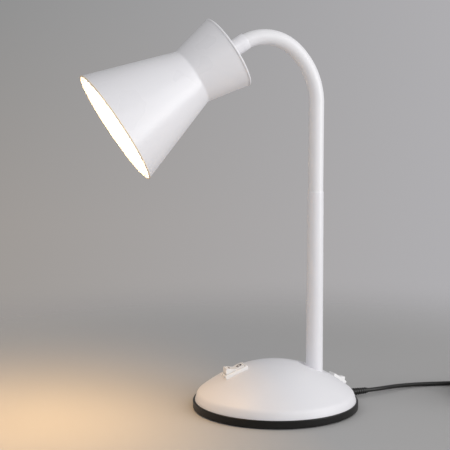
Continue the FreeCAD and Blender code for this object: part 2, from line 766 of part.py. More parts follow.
def make_pole():
    """Return the pole, its nipple, washer and nut, and the collar on top of it."""
    bore = POLE_RADIUS - POLE_WALL
    bush_top = SEAT_Z + POLE_RADIUS * tan(SEAT_TILT) + NIPPLE_GRIP
    tube = disc(POLE_RADIUS, 0, POLE_TOP)
    tube = tube.cut(disc(bore, bush_top, POLE_TOP))
    tube = tube.cut(disc(NIPPLE_RADIUS + THREAD_GAP, 0, bush_top))
    tube.translate(vec(POLE_X, 0, 0))
    below = moved(
        block(4 * SEAT_Z, 4 * POLE_RADIUS, -2 * SEAT_Z, 0),
        (POLE_X, 0, SEAT_Z), SEAT_ALONG, SEAT_NORMAL,
    )
    tube = tube.cut(below)
    washer_bottom = SEAT_BOSS_BOTTOM - WASHER_THICKNESS
    nut_bottom = washer_bottom - NUT_HEIGHT
    hole = NIPPLE_RADIUS + THREAD_GAP
    parts = {
        "pole_tube": tube,
        "pole_nipple": ring(NIPPLE_RADIUS, NIPPLE_BORE, nut_bottom - NIPPLE_TAIL, bush_top - FIT_GAP),
        "pole_washer": ring(WASHER_RADIUS, hole, washer_bottom, SEAT_BOSS_BOTTOM),
        "pole_nut": hexagon(NUT_FLATS, nut_bottom, washer_bottom).cut(
            disc(hole, nut_bottom, washer_bottom)
        ),
    }
    for name in ("pole_nipple", "pole_washer", "pole_nut"):
        parts[name].translate(vec(POLE_X, 0, 0))
    plug_radius = bore - FIT_GAP
    top = POLE_TOP + COLLAR_HEIGHT
    corner = COLLAR_ROUND * (1 - sin(45))
    collar = turned([
        (HOSE_BORE, POLE_TOP - COLLAR_PLUG),
        (plug_radius, POLE_TOP - COLLAR_PLUG),
        (plug_radius, POLE_TOP),
        (POLE_RADIUS, POLE_TOP),
        (POLE_RADIUS, top - COLLAR_ROUND),
        (POLE_RADIUS - COLLAR_ROUND, top, (POLE_RADIUS - corner, top - corner)),
        (HOSE_BORE, top),
    ])
    collar.translate(vec(POLE_X, 0, 0))
    first = joint_distances()[0]
    spigot = neck_tube(0, first, HOSE_RADIUS, HOSE_BORE)
    parts["pole_collar"] = collar.fuse(with_nose(spigot, first, HOSE_RADIUS, HOSE_BORE)).removeSplitter()
    return parts


HEAD_START, HEAD_LEAN = neck_frame(NECK_LENGTH)
REAR_FLARE = math.atan((SHADE_REAR_RADIUS - SHADE_WAIST_RADIUS) / SHADE_WAIST_AT)
FRONT_FLARE = math.atan((SHADE_MOUTH_RADIUS - SHADE_WAIST_RADIUS) / (SHADE_LENGTH - SHADE_WAIST_AT))


def on_head(shape, offset=0.0):
    """Place a shape built about Z on the head, its Z towards the shade's mouth.

    Height 0 is the plane of the shade's rear rim, moved on by the offset.
    """
    along = vec(*tangent(HEAD_LEAN))
    origin = HEAD_START + along * (FERRULE_VISIBLE + offset)
    return moved(shape, origin, across(HEAD_LEAN), tangent(HEAD_LEAN))


def shade_radius(at):
    """Return the outer radius of the shade at a distance from its rear rim."""
    if at < SHADE_WAIST_AT:
        share = at / SHADE_WAIST_AT
        return SHADE_REAR_RADIUS + (SHADE_WAIST_RADIUS - SHADE_REAR_RADIUS) * share
    share = (at - SHADE_WAIST_AT) / (SHADE_LENGTH - SHADE_WAIST_AT)
    return SHADE_WAIST_RADIUS + (SHADE_MOUTH_RADIUS - SHADE_WAIST_RADIUS) * share


def shade_skin(inset):
    """Return the shade's side, moved in by an inset.

    The corners are the rear edge, the two ends of the rounded waist, its middle and the mouth edge.
    """
    rear_inset = inset / math.cos(REAR_FLARE)
    front_inset = inset / math.cos(FRONT_FLARE)
    round_radius = SHADE_WAIST_ROUND + inset
    turn = (REAR_FLARE + FRONT_FLARE) / 2
    shift = (front_inset - rear_inset) / (math.tan(REAR_FLARE) + math.tan(FRONT_FLARE))
    waist_z = SHADE_WAIST_AT + shift
    waist_r = SHADE_WAIST_RADIUS - rear_inset - shift * math.tan(REAR_FLARE)
    reach = round_radius * math.tan(turn)
    before = (waist_r + reach * math.sin(REAR_FLARE), waist_z - reach * math.cos(REAR_FLARE))
    after = (waist_r + reach * math.sin(FRONT_FLARE), waist_z + reach * math.cos(FRONT_FLARE))
    lean = (FRONT_FLARE - REAR_FLARE) / 2
    sagitta = round_radius / math.cos(turn) - round_radius
    middle = (waist_r + sagitta * math.cos(lean), waist_z - sagitta * math.sin(lean))
    rear = (SHADE_REAR_RADIUS - rear_inset, 0.0)
    mouth = (SHADE_MOUTH_RADIUS - front_inset, SHADE_LENGTH)
    return rear, before, after, middle, mouth


def make_shade():
    """Return the hourglass shade and the vented cap that closes its rear."""
    rear, before, after, middle, mouth = shade_skin(0)
    in_rear, in_before, in_after, in_middle, in_mouth = shade_skin(SHADE_WALL)
    lip = SHADE_REAR_RADIUS - SHADE_WALL - SHADE_LIP
    lip_depth = SHADE_WALL
    under_lip = shade_radius(lip_depth) - SHADE_WALL / math.cos(REAR_FLARE)
    shade = turned([
        rear,
        before,
        (*after, middle),
        mouth,
        in_mouth,
        in_after,
        (*in_before, in_middle),
        (under_lip, lip_depth),
        (lip, lip_depth),
        (lip, 0),
    ])
    plate_top = CAP_AT + CAP_THICKNESS
    skirt_end = CAP_AT + CAP_SKIRT
    gap = SHADE_WALL / math.cos(REAR_FLARE) + CAP_GAP
    wall = CAP_THICKNESS
    cap = turned([
        (NIPPLE_RADIUS + HOLE_GAP, CAP_AT),
        (shade_radius(CAP_AT) - gap, CAP_AT),
        (shade_radius(skirt_end) - gap, skirt_end),
        (shade_radius(skirt_end) - gap - wall, skirt_end),
        (shade_radius(plate_top) - gap - wall, plate_top),
        (NIPPLE_RADIUS + HOLE_GAP, plate_top),
    ])
    for index in range(VENT_COUNT):
        hole = disc(VENT_RADIUS, CAP_AT - CUT_OVER, plate_top + CUT_OVER)
        cap = cap.cut(around(hole, 360 / VENT_COUNT * (index + 0.5), VENT_CIRCLE))
    return {"shade": on_head(shade), "shade_cap": on_head(cap)}


def make_ferrule():
    """Return the ferrule: a sleeve socket behind, a hollow threaded spigot in front."""
    back = -FERRULE_VISIBLE
    corner = FERRULE_ROUND * (1 - sin(45))
    groove = SLEEVE_RADIUS + FIT_GAP
    body = turned([
        (HOSE_BORE, back),
        (HOSE_RADIUS, back),
        (HOSE_RADIUS, back + FERRULE_SOCKET),
        (groove, back + FERRULE_SOCKET),
        (groove, back),
        (FERRULE_RADIUS - FERRULE_ROUND, back),
        (FERRULE_RADIUS, back + FERRULE_ROUND, (FERRULE_RADIUS - corner, back + corner)),
        (FERRULE_RADIUS, CAP_AT),
        (NIPPLE_RADIUS, CAP_AT),
        (NIPPLE_RADIUS, CAP_AT + SPIGOT_LENGTH),
        (HOSE_BORE, CAP_AT + SPIGOT_LENGTH),
    ])
    last = joint_distances()[-1]
    core = neck_tube(last, NECK_LENGTH, HOSE_RADIUS, HOSE_BORE)
    ferrule = on_head(body).fuse(core).removeSplitter()
    return {"neck_ferrule": with_socket(ferrule, last)}


# Heights inside the head, from the cap towards the mouth
NUT_AT = CAP_AT + CAP_THICKNESS
HUB_AT = NUT_AT + HOLDER_NUT_HEIGHT
SHOULDER_AT = HUB_AT + HOLDER_HUB
CHAMBER_AT = SHOULDER_AT + HOLDER_SHOULDER
CONTACT_AT = CHAMBER_AT + INSULATOR_THICKNESS
TIP_AT = CONTACT_AT + CONTACT_THICKNESS + CONTACT_LIFT
THREAD_AT = TIP_AT + CAP_CONE
THREAD_END = THREAD_AT + CAP_THREAD_LENGTH


def make_lampholder():
    """Return the nut, housing, insulator, screw shell and contact of the lampholder."""
    hole = NIPPLE_RADIUS + THREAD_GAP
    nut = hexagon(NUT_FLATS, NUT_AT, HUB_AT).cut(disc(hole, NUT_AT, HUB_AT))
    inner = HOLDER_RADIUS - HOLDER_WALL
    housing = turned([
        (hole, HUB_AT),
        (HOLDER_HUB_RADIUS, HUB_AT),
        (HOLDER_HUB_RADIUS, SHOULDER_AT),
        (HOLDER_RADIUS - HOLDER_SHOULDER / 2, SHOULDER_AT + HOLDER_WALL),
        (HOLDER_RADIUS, CHAMBER_AT),
        (HOLDER_RADIUS, HUB_AT + HOLDER_LENGTH),
        (inner, HUB_AT + HOLDER_LENGTH),
        (inner, CHAMBER_AT),
        (hole + HOLDER_WALL, CHAMBER_AT),
        (hole + HOLDER_WALL, CHAMBER_AT - HOLDER_WALL),
        (hole, CHAMBER_AT - HOLDER_WALL),
    ])
    insulator = ring(inner - FIT_GAP, NIPPLE_BORE, CHAMBER_AT, CONTACT_AT)
    shell_inner = CAP_THREAD_RADIUS + SCREW_SHELL_GAP
    shell = ring(shell_inner + SCREW_SHELL_WALL, shell_inner, CONTACT_AT, THREAD_END)
    strip = block(CONTACT_LENGTH, CONTACT_WIDTH, CONTACT_AT, CONTACT_AT + CONTACT_THICKNESS)
    button = disc(CONTACT_WIDTH / 2 - CONTACT_THICKNESS, CONTACT_AT, TIP_AT)
    return {
        "holder_nut": on_head(nut),
        "holder_housing": on_head(housing),
        "holder_insulator": on_head(insulator),
        "holder_screw_shell": on_head(shell),
        "holder_contact": on_head(strip.fuse(button)),
    }


def make_bulb():
    """Return the bulb: a screw cap, and a globe of thin glass on a collar."""
    cap = turned([
        (0, TIP_AT),
        (CAP_TIP_RADIUS, TIP_AT),
        (CAP_THREAD_RADIUS - BULB_COLLAR, THREAD_AT),
        (CAP_THREAD_RADIUS, THREAD_AT),
        (CAP_THREAD_RADIUS, THREAD_END),
        (CAP_THREAD_RADIUS - BULB_CAP_WALL, THREAD_END),
        (CAP_THREAD_RADIUS - BULB_CAP_WALL, THREAD_AT + BULB_CAP_WALL),
        (0, THREAD_AT - CAP_CONE / 2),
    ])
    centre = THREAD_END + BULB_REACH - CAP_THREAD_LENGTH - CAP_CONE - BULB_RADIUS
    neck_radius = CAP_THREAD_RADIUS - BULB_COLLAR

    def skin(inset):
        """Return the neck and globe as profile corners, moved in by an inset."""
        globe = BULB_RADIUS - inset
        neck = neck_radius - inset
        meet = centre - math.sqrt(globe**2 - neck**2)
        side = (globe, centre)
        return neck, meet, side, (0, centre + globe)

    neck, meet, side, tip = skin(0)
    in_neck, in_meet, in_side, in_tip = skin(BULB_WALL)
    base = THREAD_END
    glass = turned([
        (0, base),
        (neck, base),
        (neck, meet),
        (*tip, side),
        in_tip,
        (in_neck, in_meet, in_side),
        (in_neck, base + BULB_WALL),
        (0, base + BULB_WALL),
    ])
    return {"bulb_cap": on_head(cap), "bulb_glass": on_head(glass)}


def rounded_route(points):
    """Return the edges of straight runs joined by tangent arcs, and print each arc's radius."""
    edges = []
    start = points[0]
    for index in range(1, len(points) - 1):
        corner = points[index]
        before = corner - points[index - 1]
        after = points[index + 1] - corner
        turn = before.getAngle(after)
        shorter = min(before.Length, after.Length)
        radius = ARC_SHARE * shorter / math.tan(turn / 2)
        cut = ARC_SHARE * shorter
        first = corner - before.normalize() * cut
        last = corner + after.normalize() * cut
        to_centre = (after - before).normalize()
        middle = corner + to_centre * (radius / math.cos(turn / 2) - radius)
        print(f"lead arc {index}: radius {radius:.1f} mm, turn {math.degrees(turn):.1f} degrees")
        edges.append(Part.makeLine(start, first))
        edges.append(Part.Arc(first, middle, last).toShape())
        start = last
    edges.append(Part.makeLine(start, points[-1]))
    return edges


def biarc(start, start_way, end, end_way):
    """Return the two tangent arcs that join two points with given directions."""
    chord = end - start
    ways = start_way + end_way
    spread = 2 * (1 - start_way.dot(end_way))
    along = chord.dot(ways)
    reach = (math.sqrt(along**2 + spread * chord.dot(chord)) - along) / spread
    first_corner = start + start_way * reach
    second_corner = end - end_way * reach
    joint = (first_corner + second_corner) * 0.5
    edges = []
    for begin, corner, finish in ((start, first_corner, joint), (joint, second_corner, end)):
        half = (begin - corner).getAngle(finish - corner) / 2
        inward = ((begin - corner).normalize() + (finish - corner).normalize()).normalize()
        radius = reach * math.tan(half)
        middle = corner + inward * (radius / math.sin(half) - radius)
        edges.append(Part.Arc(begin, middle, finish).toShape())
    return edges


def swept(edges, name):
    """Sweep the lead's round section along a path, and print how its volume compares."""
    path = Part.Wire(edges)
    start = edges[0].valueAt(edges[0].FirstParameter)
    way = edges[0].tangentAt(edges[0].FirstParameter)
    section = Part.Wire(Part.makeCircle(CORD_RADIUS, start, way))
    tube = path.makePipeShell([section], True, False)
    expected = math.pi * CORD_RADIUS**2 * path.Length
    print(f"{name}: length {path.Length:.1f} mm, volume {tube.Volume / expected:.4f} of section x length")
    return tube


def lead_point(x, y, height):
    """Return a point by its X and Y from the tip of the strain relief and by its height."""
    return vec(RELIEF_TIP * cos(CORD_ANGLE) + x, RELIEF_TIP * sin(CORD_ANGLE) + y, height)


LEAD_ROUTE = [lead_point(0, 0, CORD_HEIGHT)]
LEAD_ROUTE += [lead_point(*offset) for offset in LEAD_POINTS]
COIL_START = lead_point(*LEAD_END)
COIL_WAY = COIL_START - LEAD_ROUTE[-1]
COIL_WAY.z = 0
COIL_WAY.normalize()
COIL_SIDE = vec(COIL_WAY.y, -COIL_WAY.x, 0)
COIL_STRAIGHT = 2 * CORD_RADIUS
COIL_CENTRE = COIL_START + COIL_WAY * COIL_STRAIGHT + COIL_SIDE * COIL_RADIUS
COIL_TOP = COIL_LAYERS * COIL_PITCH + CORD_RADIUS
PLUG_AXIS_RISE = COIL_TOP + PLUG_SEAT + PLUG_THICKNESS / 2


def coil_point(side, radius, height):
    """Return a point of the coil on its far side (side 1) or near side (side -1)."""
    return COIL_CENTRE - COIL_SIDE * (side * radius) + Z_AXIS * height


def coil_edges():
    """Return the coil's path: layers that spiral in and out, a tail, and the layer heights."""
    edges = [Part.makeLine(COIL_START, coil_point(1, COIL_RADIUS, 0))]
    half_turns = int(2 * COIL_LAYER_TURNS)
    side = 1
    radius = COIL_RADIUS
    height = 0.0
    step = -COIL_PITCH / 2

    def go(new_radius, new_height):
        """Wind one half turn to the other side."""
        nonlocal side, radius, height
        edges.extend(biarc(
            coil_point(side, radius, height), COIL_WAY * side,
            coil_point(-side, new_radius, new_height), COIL_WAY * -side,
        ))
        side = -side
        radius = new_radius
        height = new_height

    for layer in range(COIL_LAYERS):
        last = layer == COIL_LAYERS - 1
        for _ in range(half_turns - 1 if last else half_turns):
            go(radius + step, height)
        step = -step
        go(radius, height + COIL_PITCH)
    go(COIL_LAST_RADIUS, height)
    exit_point = COIL_CENTRE + COIL_WAY * COIL_EXIT_RADIUS + Z_AXIS * PLUG_AXIS_RISE
    edges.extend(biarc(coil_point(side, radius, height), COIL_WAY * side, exit_point, COIL_SIDE))
    edges.append(Part.makeLine(exit_point, exit_point + COIL_SIDE * COIL_STRAIGHT))
    return edges


def least_gap(edges):
    """Return the least gap between lengths of the coil that are a half turn or more apart."""
    points = []
    for edge in edges:
        points += edge.discretize(COIL_SAMPLES)[:-1]
    apart = 2 * COIL_SAMPLES
    least = min(
        points[i].distanceToPoint(points[j])
        for i in range(len(points))
        for j in range(i + apart, len(points))
    )
    return least - 2 * CORD_RADIUS


def make_cord():
    """Return the strain relief, lead, coil, tie, plug and pins."""
    flange_at = RELIEF_FLANGE_AT
    outer_at = RIM_RADIUS + RELIEF_OUTER_GAP
    relief = turned([
        (0, flange_at - RELIEF_FLANGE),
        (RELIEF_FLANGE_RADIUS, flange_at - RELIEF_FLANGE),
        (RELIEF_FLANGE_RADIUS, flange_at),
        (RELIEF_NECK_RADIUS, flange_at),
        (RELIEF_NECK_RADIUS, outer_at),
        (RELIEF_FLANGE_RADIUS, outer_at),
        (RELIEF_FLANGE_RADIUS, outer_at + RELIEF_FLANGE),
        (RELIEF_ROOT_RADIUS, outer_at + RELIEF_FLANGE),
        (RELIEF_TIP_RADIUS, RELIEF_TIP),
        (0, RELIEF_TIP),
    ])
    radial = (cos(CORD_ANGLE), sin(CORD_ANGLE), 0)
    relief = moved(relief, (0, 0, CORD_HEIGHT), (0, 0, -1), radial)
    lead = swept(rounded_route([*LEAD_ROUTE, COIL_START]), "lead")
    edges = coil_edges()
    coil = swept(edges, "coil")
    print(f"coil: least gap to itself {least_gap(edges):.2f} mm")
    plug_start = COIL_CENTRE + COIL_WAY * COIL_EXIT_RADIUS + COIL_SIDE * COIL_STRAIGHT
    plug_start += Z_AXIS * PLUG_AXIS_RISE
    tail = Part.makeCone(RELIEF_TIP_RADIUS, PLUG_TAIL_RADIUS, PLUG_TAIL)
    outline = Part.makePolygon([
        vec(-PLUG_NECK_WIDTH / 2, 0, PLUG_TAIL),
        vec(PLUG_NECK_WIDTH / 2, 0, PLUG_TAIL),
        vec(PLUG_WIDTH / 2, 0, PLUG_TAIL + PLUG_LENGTH / 2),
        vec(PLUG_WIDTH / 2, 0, PLUG_TAIL + PLUG_LENGTH),
        vec(-PLUG_WIDTH / 2, 0, PLUG_TAIL + PLUG_LENGTH),
        vec(-PLUG_WIDTH / 2, 0, PLUG_TAIL + PLUG_LENGTH / 2),
        vec(-PLUG_NECK_WIDTH / 2, 0, PLUG_TAIL),
    ])
    body = Part.Face(outline).extrude(vec(0, PLUG_THICKNESS, 0))
    body.translate(vec(0, -PLUG_THICKNESS / 2, 0))
    body = body.makeFillet(PLUG_ROUND, body.Edges)
    pins = []
    for side in (-1, 1):
        root = vec(side * PIN_SPACING / 2, 0, PLUG_TAIL + PLUG_LENGTH)
        pins.append(Part.makeCylinder(PIN_RADIUS, PIN_LENGTH, root))
    place = (plug_start, COIL_WAY, COIL_SIDE)
    return {
        "strain_relief": relief,
        "cord_lead": lead,
        "cord_coil": coil,
        "cord_tie": make_tie(),
        "plug_body": moved(body.fuse(tail), *place),
        "plug_pins": moved(Part.makeCompound(pins), *place),
    }


def make_tie():
    """Return the band round the coil's turns, on the side that faces the lamp."""
    inner_low = COIL_RADIUS - COIL_LAYER_TURNS * COIL_PITCH - CORD_RADIUS - TIE_GAP
    inner_high = COIL_RADIUS + CORD_RADIUS + TIE_GAP
    bottom = -CORD_RADIUS - TIE_GAP
    top = COIL_TOP + TIE_GAP
    middle = (inner_low + inner_high) / 2
    width = inner_high - inner_low
    hole = block(width, 2 * TIE_WIDTH, bottom, top)
    band = block(width + 2 * TIE_WALL, TIE_WIDTH, bottom - TIE_WALL, top + TIE_WALL)
    band = band.cut(hole)
    band.translate(vec(middle, 0, 0))
    return moved(band, COIL_CENTRE, COIL_WAY * -1, Z_AXIS)


def main():
    """Build every piece and write each to its own file."""
    parts = {}
    for group in (
        make_base(), make_switches(), make_pole(), make_neck(), make_ferrule(), make_shade(),
        make_lampholder(), make_bulb(), make_cord(),
    ):
        parts.update(group)
    os.makedirs("parts", exist_ok=True)
    for name, shape in parts.items():
        if not shape.isValid():
            print(f"{name}: not valid")
        shape.exportStep(os.path.join("parts", name + ".step"))
    print(f"{len(parts)} pieces")


main()
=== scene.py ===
"""Looks of the gooseneck desk lamp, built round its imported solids.

Metres, in the solids' own frame: the origin is the centre of the base on the desk, +Z is up, the
head hangs over -X and the pole stands on the +X side.
"""

import json
import logging
import math
from dataclasses import dataclass
from enum import Enum
from typing import Any, Sequence

import bmesh
import bpy
from mathutils import Matrix, Vector

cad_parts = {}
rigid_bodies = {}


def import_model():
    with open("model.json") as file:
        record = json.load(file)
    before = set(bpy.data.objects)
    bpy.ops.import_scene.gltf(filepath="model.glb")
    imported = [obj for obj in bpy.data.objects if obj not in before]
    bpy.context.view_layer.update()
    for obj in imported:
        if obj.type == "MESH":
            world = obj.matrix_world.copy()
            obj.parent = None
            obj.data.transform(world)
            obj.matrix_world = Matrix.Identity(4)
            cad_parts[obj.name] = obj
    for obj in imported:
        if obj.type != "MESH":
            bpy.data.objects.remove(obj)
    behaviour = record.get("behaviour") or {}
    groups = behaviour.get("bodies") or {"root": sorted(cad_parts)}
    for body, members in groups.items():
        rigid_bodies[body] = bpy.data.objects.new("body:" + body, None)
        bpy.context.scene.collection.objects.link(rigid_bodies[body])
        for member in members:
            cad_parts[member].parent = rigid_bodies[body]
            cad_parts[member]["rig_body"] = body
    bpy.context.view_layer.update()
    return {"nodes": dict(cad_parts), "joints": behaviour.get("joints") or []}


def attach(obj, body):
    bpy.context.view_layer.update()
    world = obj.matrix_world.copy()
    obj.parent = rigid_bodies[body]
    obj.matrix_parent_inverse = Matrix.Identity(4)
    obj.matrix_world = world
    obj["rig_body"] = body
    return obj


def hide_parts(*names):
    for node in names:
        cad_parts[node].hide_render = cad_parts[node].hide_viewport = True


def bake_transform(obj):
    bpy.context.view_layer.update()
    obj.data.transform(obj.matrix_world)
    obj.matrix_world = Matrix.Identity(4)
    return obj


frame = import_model()

MM = 0.001
PATCH_DETAIL = 3.0
PATCH_ROUGHNESS = 0.55
COAT_ROUGHNESS = 0.12
MERGE_REACH = 1e-6
SKIN_CREASE = 50.0
RIB_POINTS = 40
RIB_SIDES = 10
log = logging.getLogger("desk lamp")


def linear(hex_colour: str) -> tuple[float, float, float, float]:
    """Turn an sRGB hex value into a linear colour.

    Args:
        hex_colour: six hex digits after a hash.

    Returns:
        Red, green, blue and a full alpha.
    """
    parts = [int(hex_colour[i:i + 2], 16) / 255 for i in (1, 3, 5)]
    bent = [c / 12.92 if c <= 0.04045 else ((c + 0.055) / 1.055) ** 2.4 for c in parts]
    return (*bent, 1.0)


def add(
    tree: bpy.types.NodeTree,
    kind: str,
    settings: dict[str, Any] | None = None,
    inputs: dict[str | int, Any] | None = None,
) -> bpy.types.Node:
    """Add a node to a tree.

    Args:
        tree: the tree that gets the node.
        kind: the node's type.
        settings: the node's own properties and their values.
        inputs: sockets by name or number, with a value, or a socket to link from.

    Returns:
        The new node.
    """
    node = tree.nodes.new(kind)
    for name, value in (settings or {}).items():
        setattr(node, name, value)
    for key, value in (inputs or {}).items():
        if isinstance(value, bpy.types.NodeSocket):
            tree.links.new(value, node.inputs[key])
        else:
            node.inputs[key].default_value = value
    return node


class Grain(Enum):
    """How a surface was made, which gives the small pattern that it shows."""

    SPRAYED = "orange peel of a sprayed coat"
    MOULDED = "fine spark-eroded texture of a mould"
    DRAWN = "lengthwise marks of drawing or turning"
    CAST = "sand-cast pits"
    PLAIN = "no pattern that shows"


# The noise texture's detail and roughness for each grain that it draws
GRAIN_NOISE = {Grain.SPRAYED: (1.0, 0.4), Grain.MOULDED: (5.0, 0.7), Grain.DRAWN: (2.0, 0.5)}
DRAWN_STRETCH = (1, 1, 0.04)


@dataclass(frozen=True)
class Finish:
    """One real finish, and what it gives the eye."""

    name: str
    colour: str
    deep: str
    roughness: float
    spread: float = 0.04
    grain: Grain = Grain.PLAIN
    grain_mm: float = 1.0
    depth_mm: float = 0.01
    patch_mm: float = 60.0
    metallic: float = 0.0
    ior: float = 1.5
    coat: float = 0.0
    glow: str = ""
    # Stretches whose two ends are listed from the head's side first; the ends are not used further
    glow_strength: float = 0.0
    transmission: float = 0.0

    def material(self) -> bpy.types.Material:
        """Return this finish's material, made at its first use.

        Returns:
            The node material.
        """
        found = bpy.data.materials.get(self.name)
        if found is not None:
            return found
        made = bpy.data.materials.new(self.name)
        made.use_nodes = True
        made.diffuse_color = linear(self.colour)
        tree = made.node_tree
        tree.nodes.clear()
        place = add(tree, "ShaderNodeTexCoord").outputs["Object"]
        patches = add(tree, "ShaderNodeTexNoise", inputs={
            "Vector": place, "Scale": 1 / (self.patch_mm * MM),
            "Detail": PATCH_DETAIL, "Roughness": PATCH_ROUGHNESS,
        })
        tone = add(tree, "ShaderNodeMix", {"data_type": "RGBA"}, {
            0: patches.outputs[0], 6: linear(self.deep), 7: linear(self.colour),
        })
        sheen = add(tree, "ShaderNodeMapRange", inputs={
            "Value": patches.outputs[0],
            "To Min": self.roughness - self.spread,
            "To Max": self.roughness + self.spread,
        })
        shader = add(tree, "ShaderNodeBsdfPrincipled", inputs={
            "Base Color": tone.outputs[2],
            "Roughness": sheen.outputs["Result"],
            "Metallic": self.metallic,
            "Coat Weight": self.coat,
            "Coat Roughness": COAT_ROUGHNESS,
            "Transmission Weight": self.transmission,
        })
        if not self.metallic:
            shader.inputs["IOR"].default_value = self.ior
        if self.glow:
            shader.inputs["Emission Color"].default_value = linear(self.glow)
            shader.inputs["Emission Strength"].default_value = self.glow_strength
        relief = self.relief(tree, place)
        if relief is not None:
            bump = add(tree, "ShaderNodeBump", inputs={
                "Height": relief, "Distance": self.depth_mm * MM, "Strength": 1.0,
            })
            tree.links.new(bump.outputs["Normal"], shader.inputs["Normal"])
        add(tree, "ShaderNodeOutputMaterial", inputs={"Surface": shader.outputs["BSDF"]})
        return made

    def relief(
        self, tree: bpy.types.NodeTree, place: bpy.types.NodeSocket
    ) -> bpy.types.NodeSocket | None:
        """Add the nodes of the surface's grain.

        Args:
            tree: the material's tree.
            place: the socket with the point's place on the piece.

        Returns:
            The socket with the height of the grain, or None where none shows.
        """
        if self.grain is Grain.PLAIN:
            return None
        scale = 1 / (self.grain_mm * MM)
        if self.grain is Grain.CAST:
            pits = add(tree, "ShaderNodeTexVoronoi", inputs={"Vector": place, "Scale": scale})
            return pits.outputs["Distance"]
        if self.grain is Grain.DRAWN:
            long = add(tree, "ShaderNodeMapping", inputs={"Vector": place, "Scale": DRAWN_STRETCH})
            place = long.outputs["Vector"]
        detail, roughness = GRAIN_NOISE[self.grain]
        return add(tree, "ShaderNodeTexNoise", inputs={
            "Vector": place, "Scale": scale, "Detail": detail, "Roughness": roughness,
        }).outputs[0]


# Sprayed polyester on steel: satin white, with an orange peel of about 2 mm, drawn coarse to show
WHITE_COAT = Finish(
    "satin_white_sprayed_steel", "#EFEEF2", "#E9E8EC", 0.28, 0.03, Grain.SPRAYED, 2.4, 0.01,
)
# The same coat inside the shade, a little glossier to throw the light, made warmer and brighter in
# colour: painted warm light of the bulb
GLOW_TINTED_INNER_COAT = Finish(
    "gloss_white_reflector_painted_warm_glow", "#F6F1E8", "#F1EBE0", 0.3, 0.03, Grain.SPRAYED, 2.8, 0.01,
)
# The coat on the mouth's rolled edge, tinted warm: painted warm glow of the bulb's light on the
# edge
GLOW_TINTED_EDGE_COAT = Finish(
    "white_coat_edge_painted_warm_glow", "#F1E2CE", "#ECDBC4", 0.4, 0.03, Grain.SPRAYED, 2.4, 0.008,
)
# Moulded ABS of the dome: satin, with a fine mould texture
WHITE_ABS = Finish(
    "satin_white_moulded_abs", "#EDECF0", "#E6E5E9", 0.46, grain=Grain.MOULDED, grain_mm=1.3,
    depth_mm=0.012, ior=1.53,
)
# Soft PVC of the neck's sleeve: smoother and waxier than the paint
WHITE_PVC = Finish(
    "soft_white_pvc_sleeve", "#F0EFF2", "#EAE9EC", 0.38, grain=Grain.MOULDED, grain_mm=3.0,
    depth_mm=0.008, ior=1.52, coat=0.1,
)
# Polished ABS of the rocker switches
SWITCH_ABS = Finish(
    "gloss_white_switch_abs", "#F3F2F2", "#EEEDED", 0.24, 0.03, Grain.MOULDED, 2.0, 0.004, 20.0,
)
# Printed ink of the switch marks
MARK_INK = Finish("dark_switch_ink", "#45292F", "#3A2228", 0.5, patch_mm=4.0)
# Moulded black ABS of the tray, greyed by its coarse texture
BLACK_ABS = Finish(
    "black_moulded_abs_tray", "#131211", "#0E0D0D", 0.42, 0.06, Grain.MOULDED, 1.0, 0.03, 40.0,
    ior=1.4,
)
BLACK_RUBBER = Finish(
    "black_rubber_foot", "#1E1E1D", "#171716", 0.85, 0.05, Grain.MOULDED, 0.8, 0.05, 25.0,
)
BLACK_PVC = Finish(
    "black_pvc_lead", "#1C1B19", "#151413", 0.42, 0.08, Grain.MOULDED, 2.2, 0.03, 30.0, ior=1.52,
)
BLACK_NYLON = Finish(
    "black_nylon_tie", "#2A2A29", "#202020", 0.55, 0.06, Grain.MOULDED, 1.2, 0.04, 12.0,
)
ZINC = Finish(
    "zinc_plated_steel", "#B9BBB8", "#A4A6A2", 0.38, 0.08, Grain.DRAWN, 0.8, 0.01, 15.0,
    metallic=1.0,
)
CHROME = Finish(
    "chromed_steel_hose", "#C8CACC", "#B4B6B8", 0.2, 0.06, Grain.DRAWN, 0.9, 0.01, 12.0,
    metallic=1.0,
)
BRASS = Finish(
    "drawn_brass", "#C9A557", "#B48E42", 0.3, 0.08, Grain.DRAWN, 0.7, 0.01, 8.0, metallic=1.0,
)
PIN_PLATE = Finish(
    "nickel_plated_brass", "#C9C6BE", "#B8B4AB", 0.22, 0.06, Grain.DRAWN, 0.7, 0.008, 8.0,
    metallic=1.0,
)
CAST_IRON = Finish(
    "sand_cast_iron", "#4A4948", "#3A3938", 0.72, 0.08, Grain.CAST, 2.6, 0.15, 20.0, metallic=0.7,
)
CERAMIC = Finish(
    "steatite", "#E4E0D6", "#D8D3C7", 0.5, 0.08, Grain.CAST, 1.6, 0.03, 10.0,
)
HOLDER_RESIN = Finish(
    "white_phenolic_holder", "#E2E0DA", "#D8D5CE", 0.35, 0.05, Grain.MOULDED, 1.2, 0.01, 18.0,
)
BULB_CAP_METAL = Finish(
    "aluminium_bulb_cap", "#C4C5C6", "#B2B3B4", 0.32, 0.06, Grain.DRAWN, 0.8, 0.01, 8.0,
    metallic=1.0,
)
# Opal glass, lit from inside: warm white, evenly bright
OPAL_GLASS = Finish(
    "lit_opal_glass", "#FFF3DF", "#FFEFD6", 0.25, 0.03, patch_mm=30.0, glow="#FFF1DC",
    glow_strength=12.0,
)
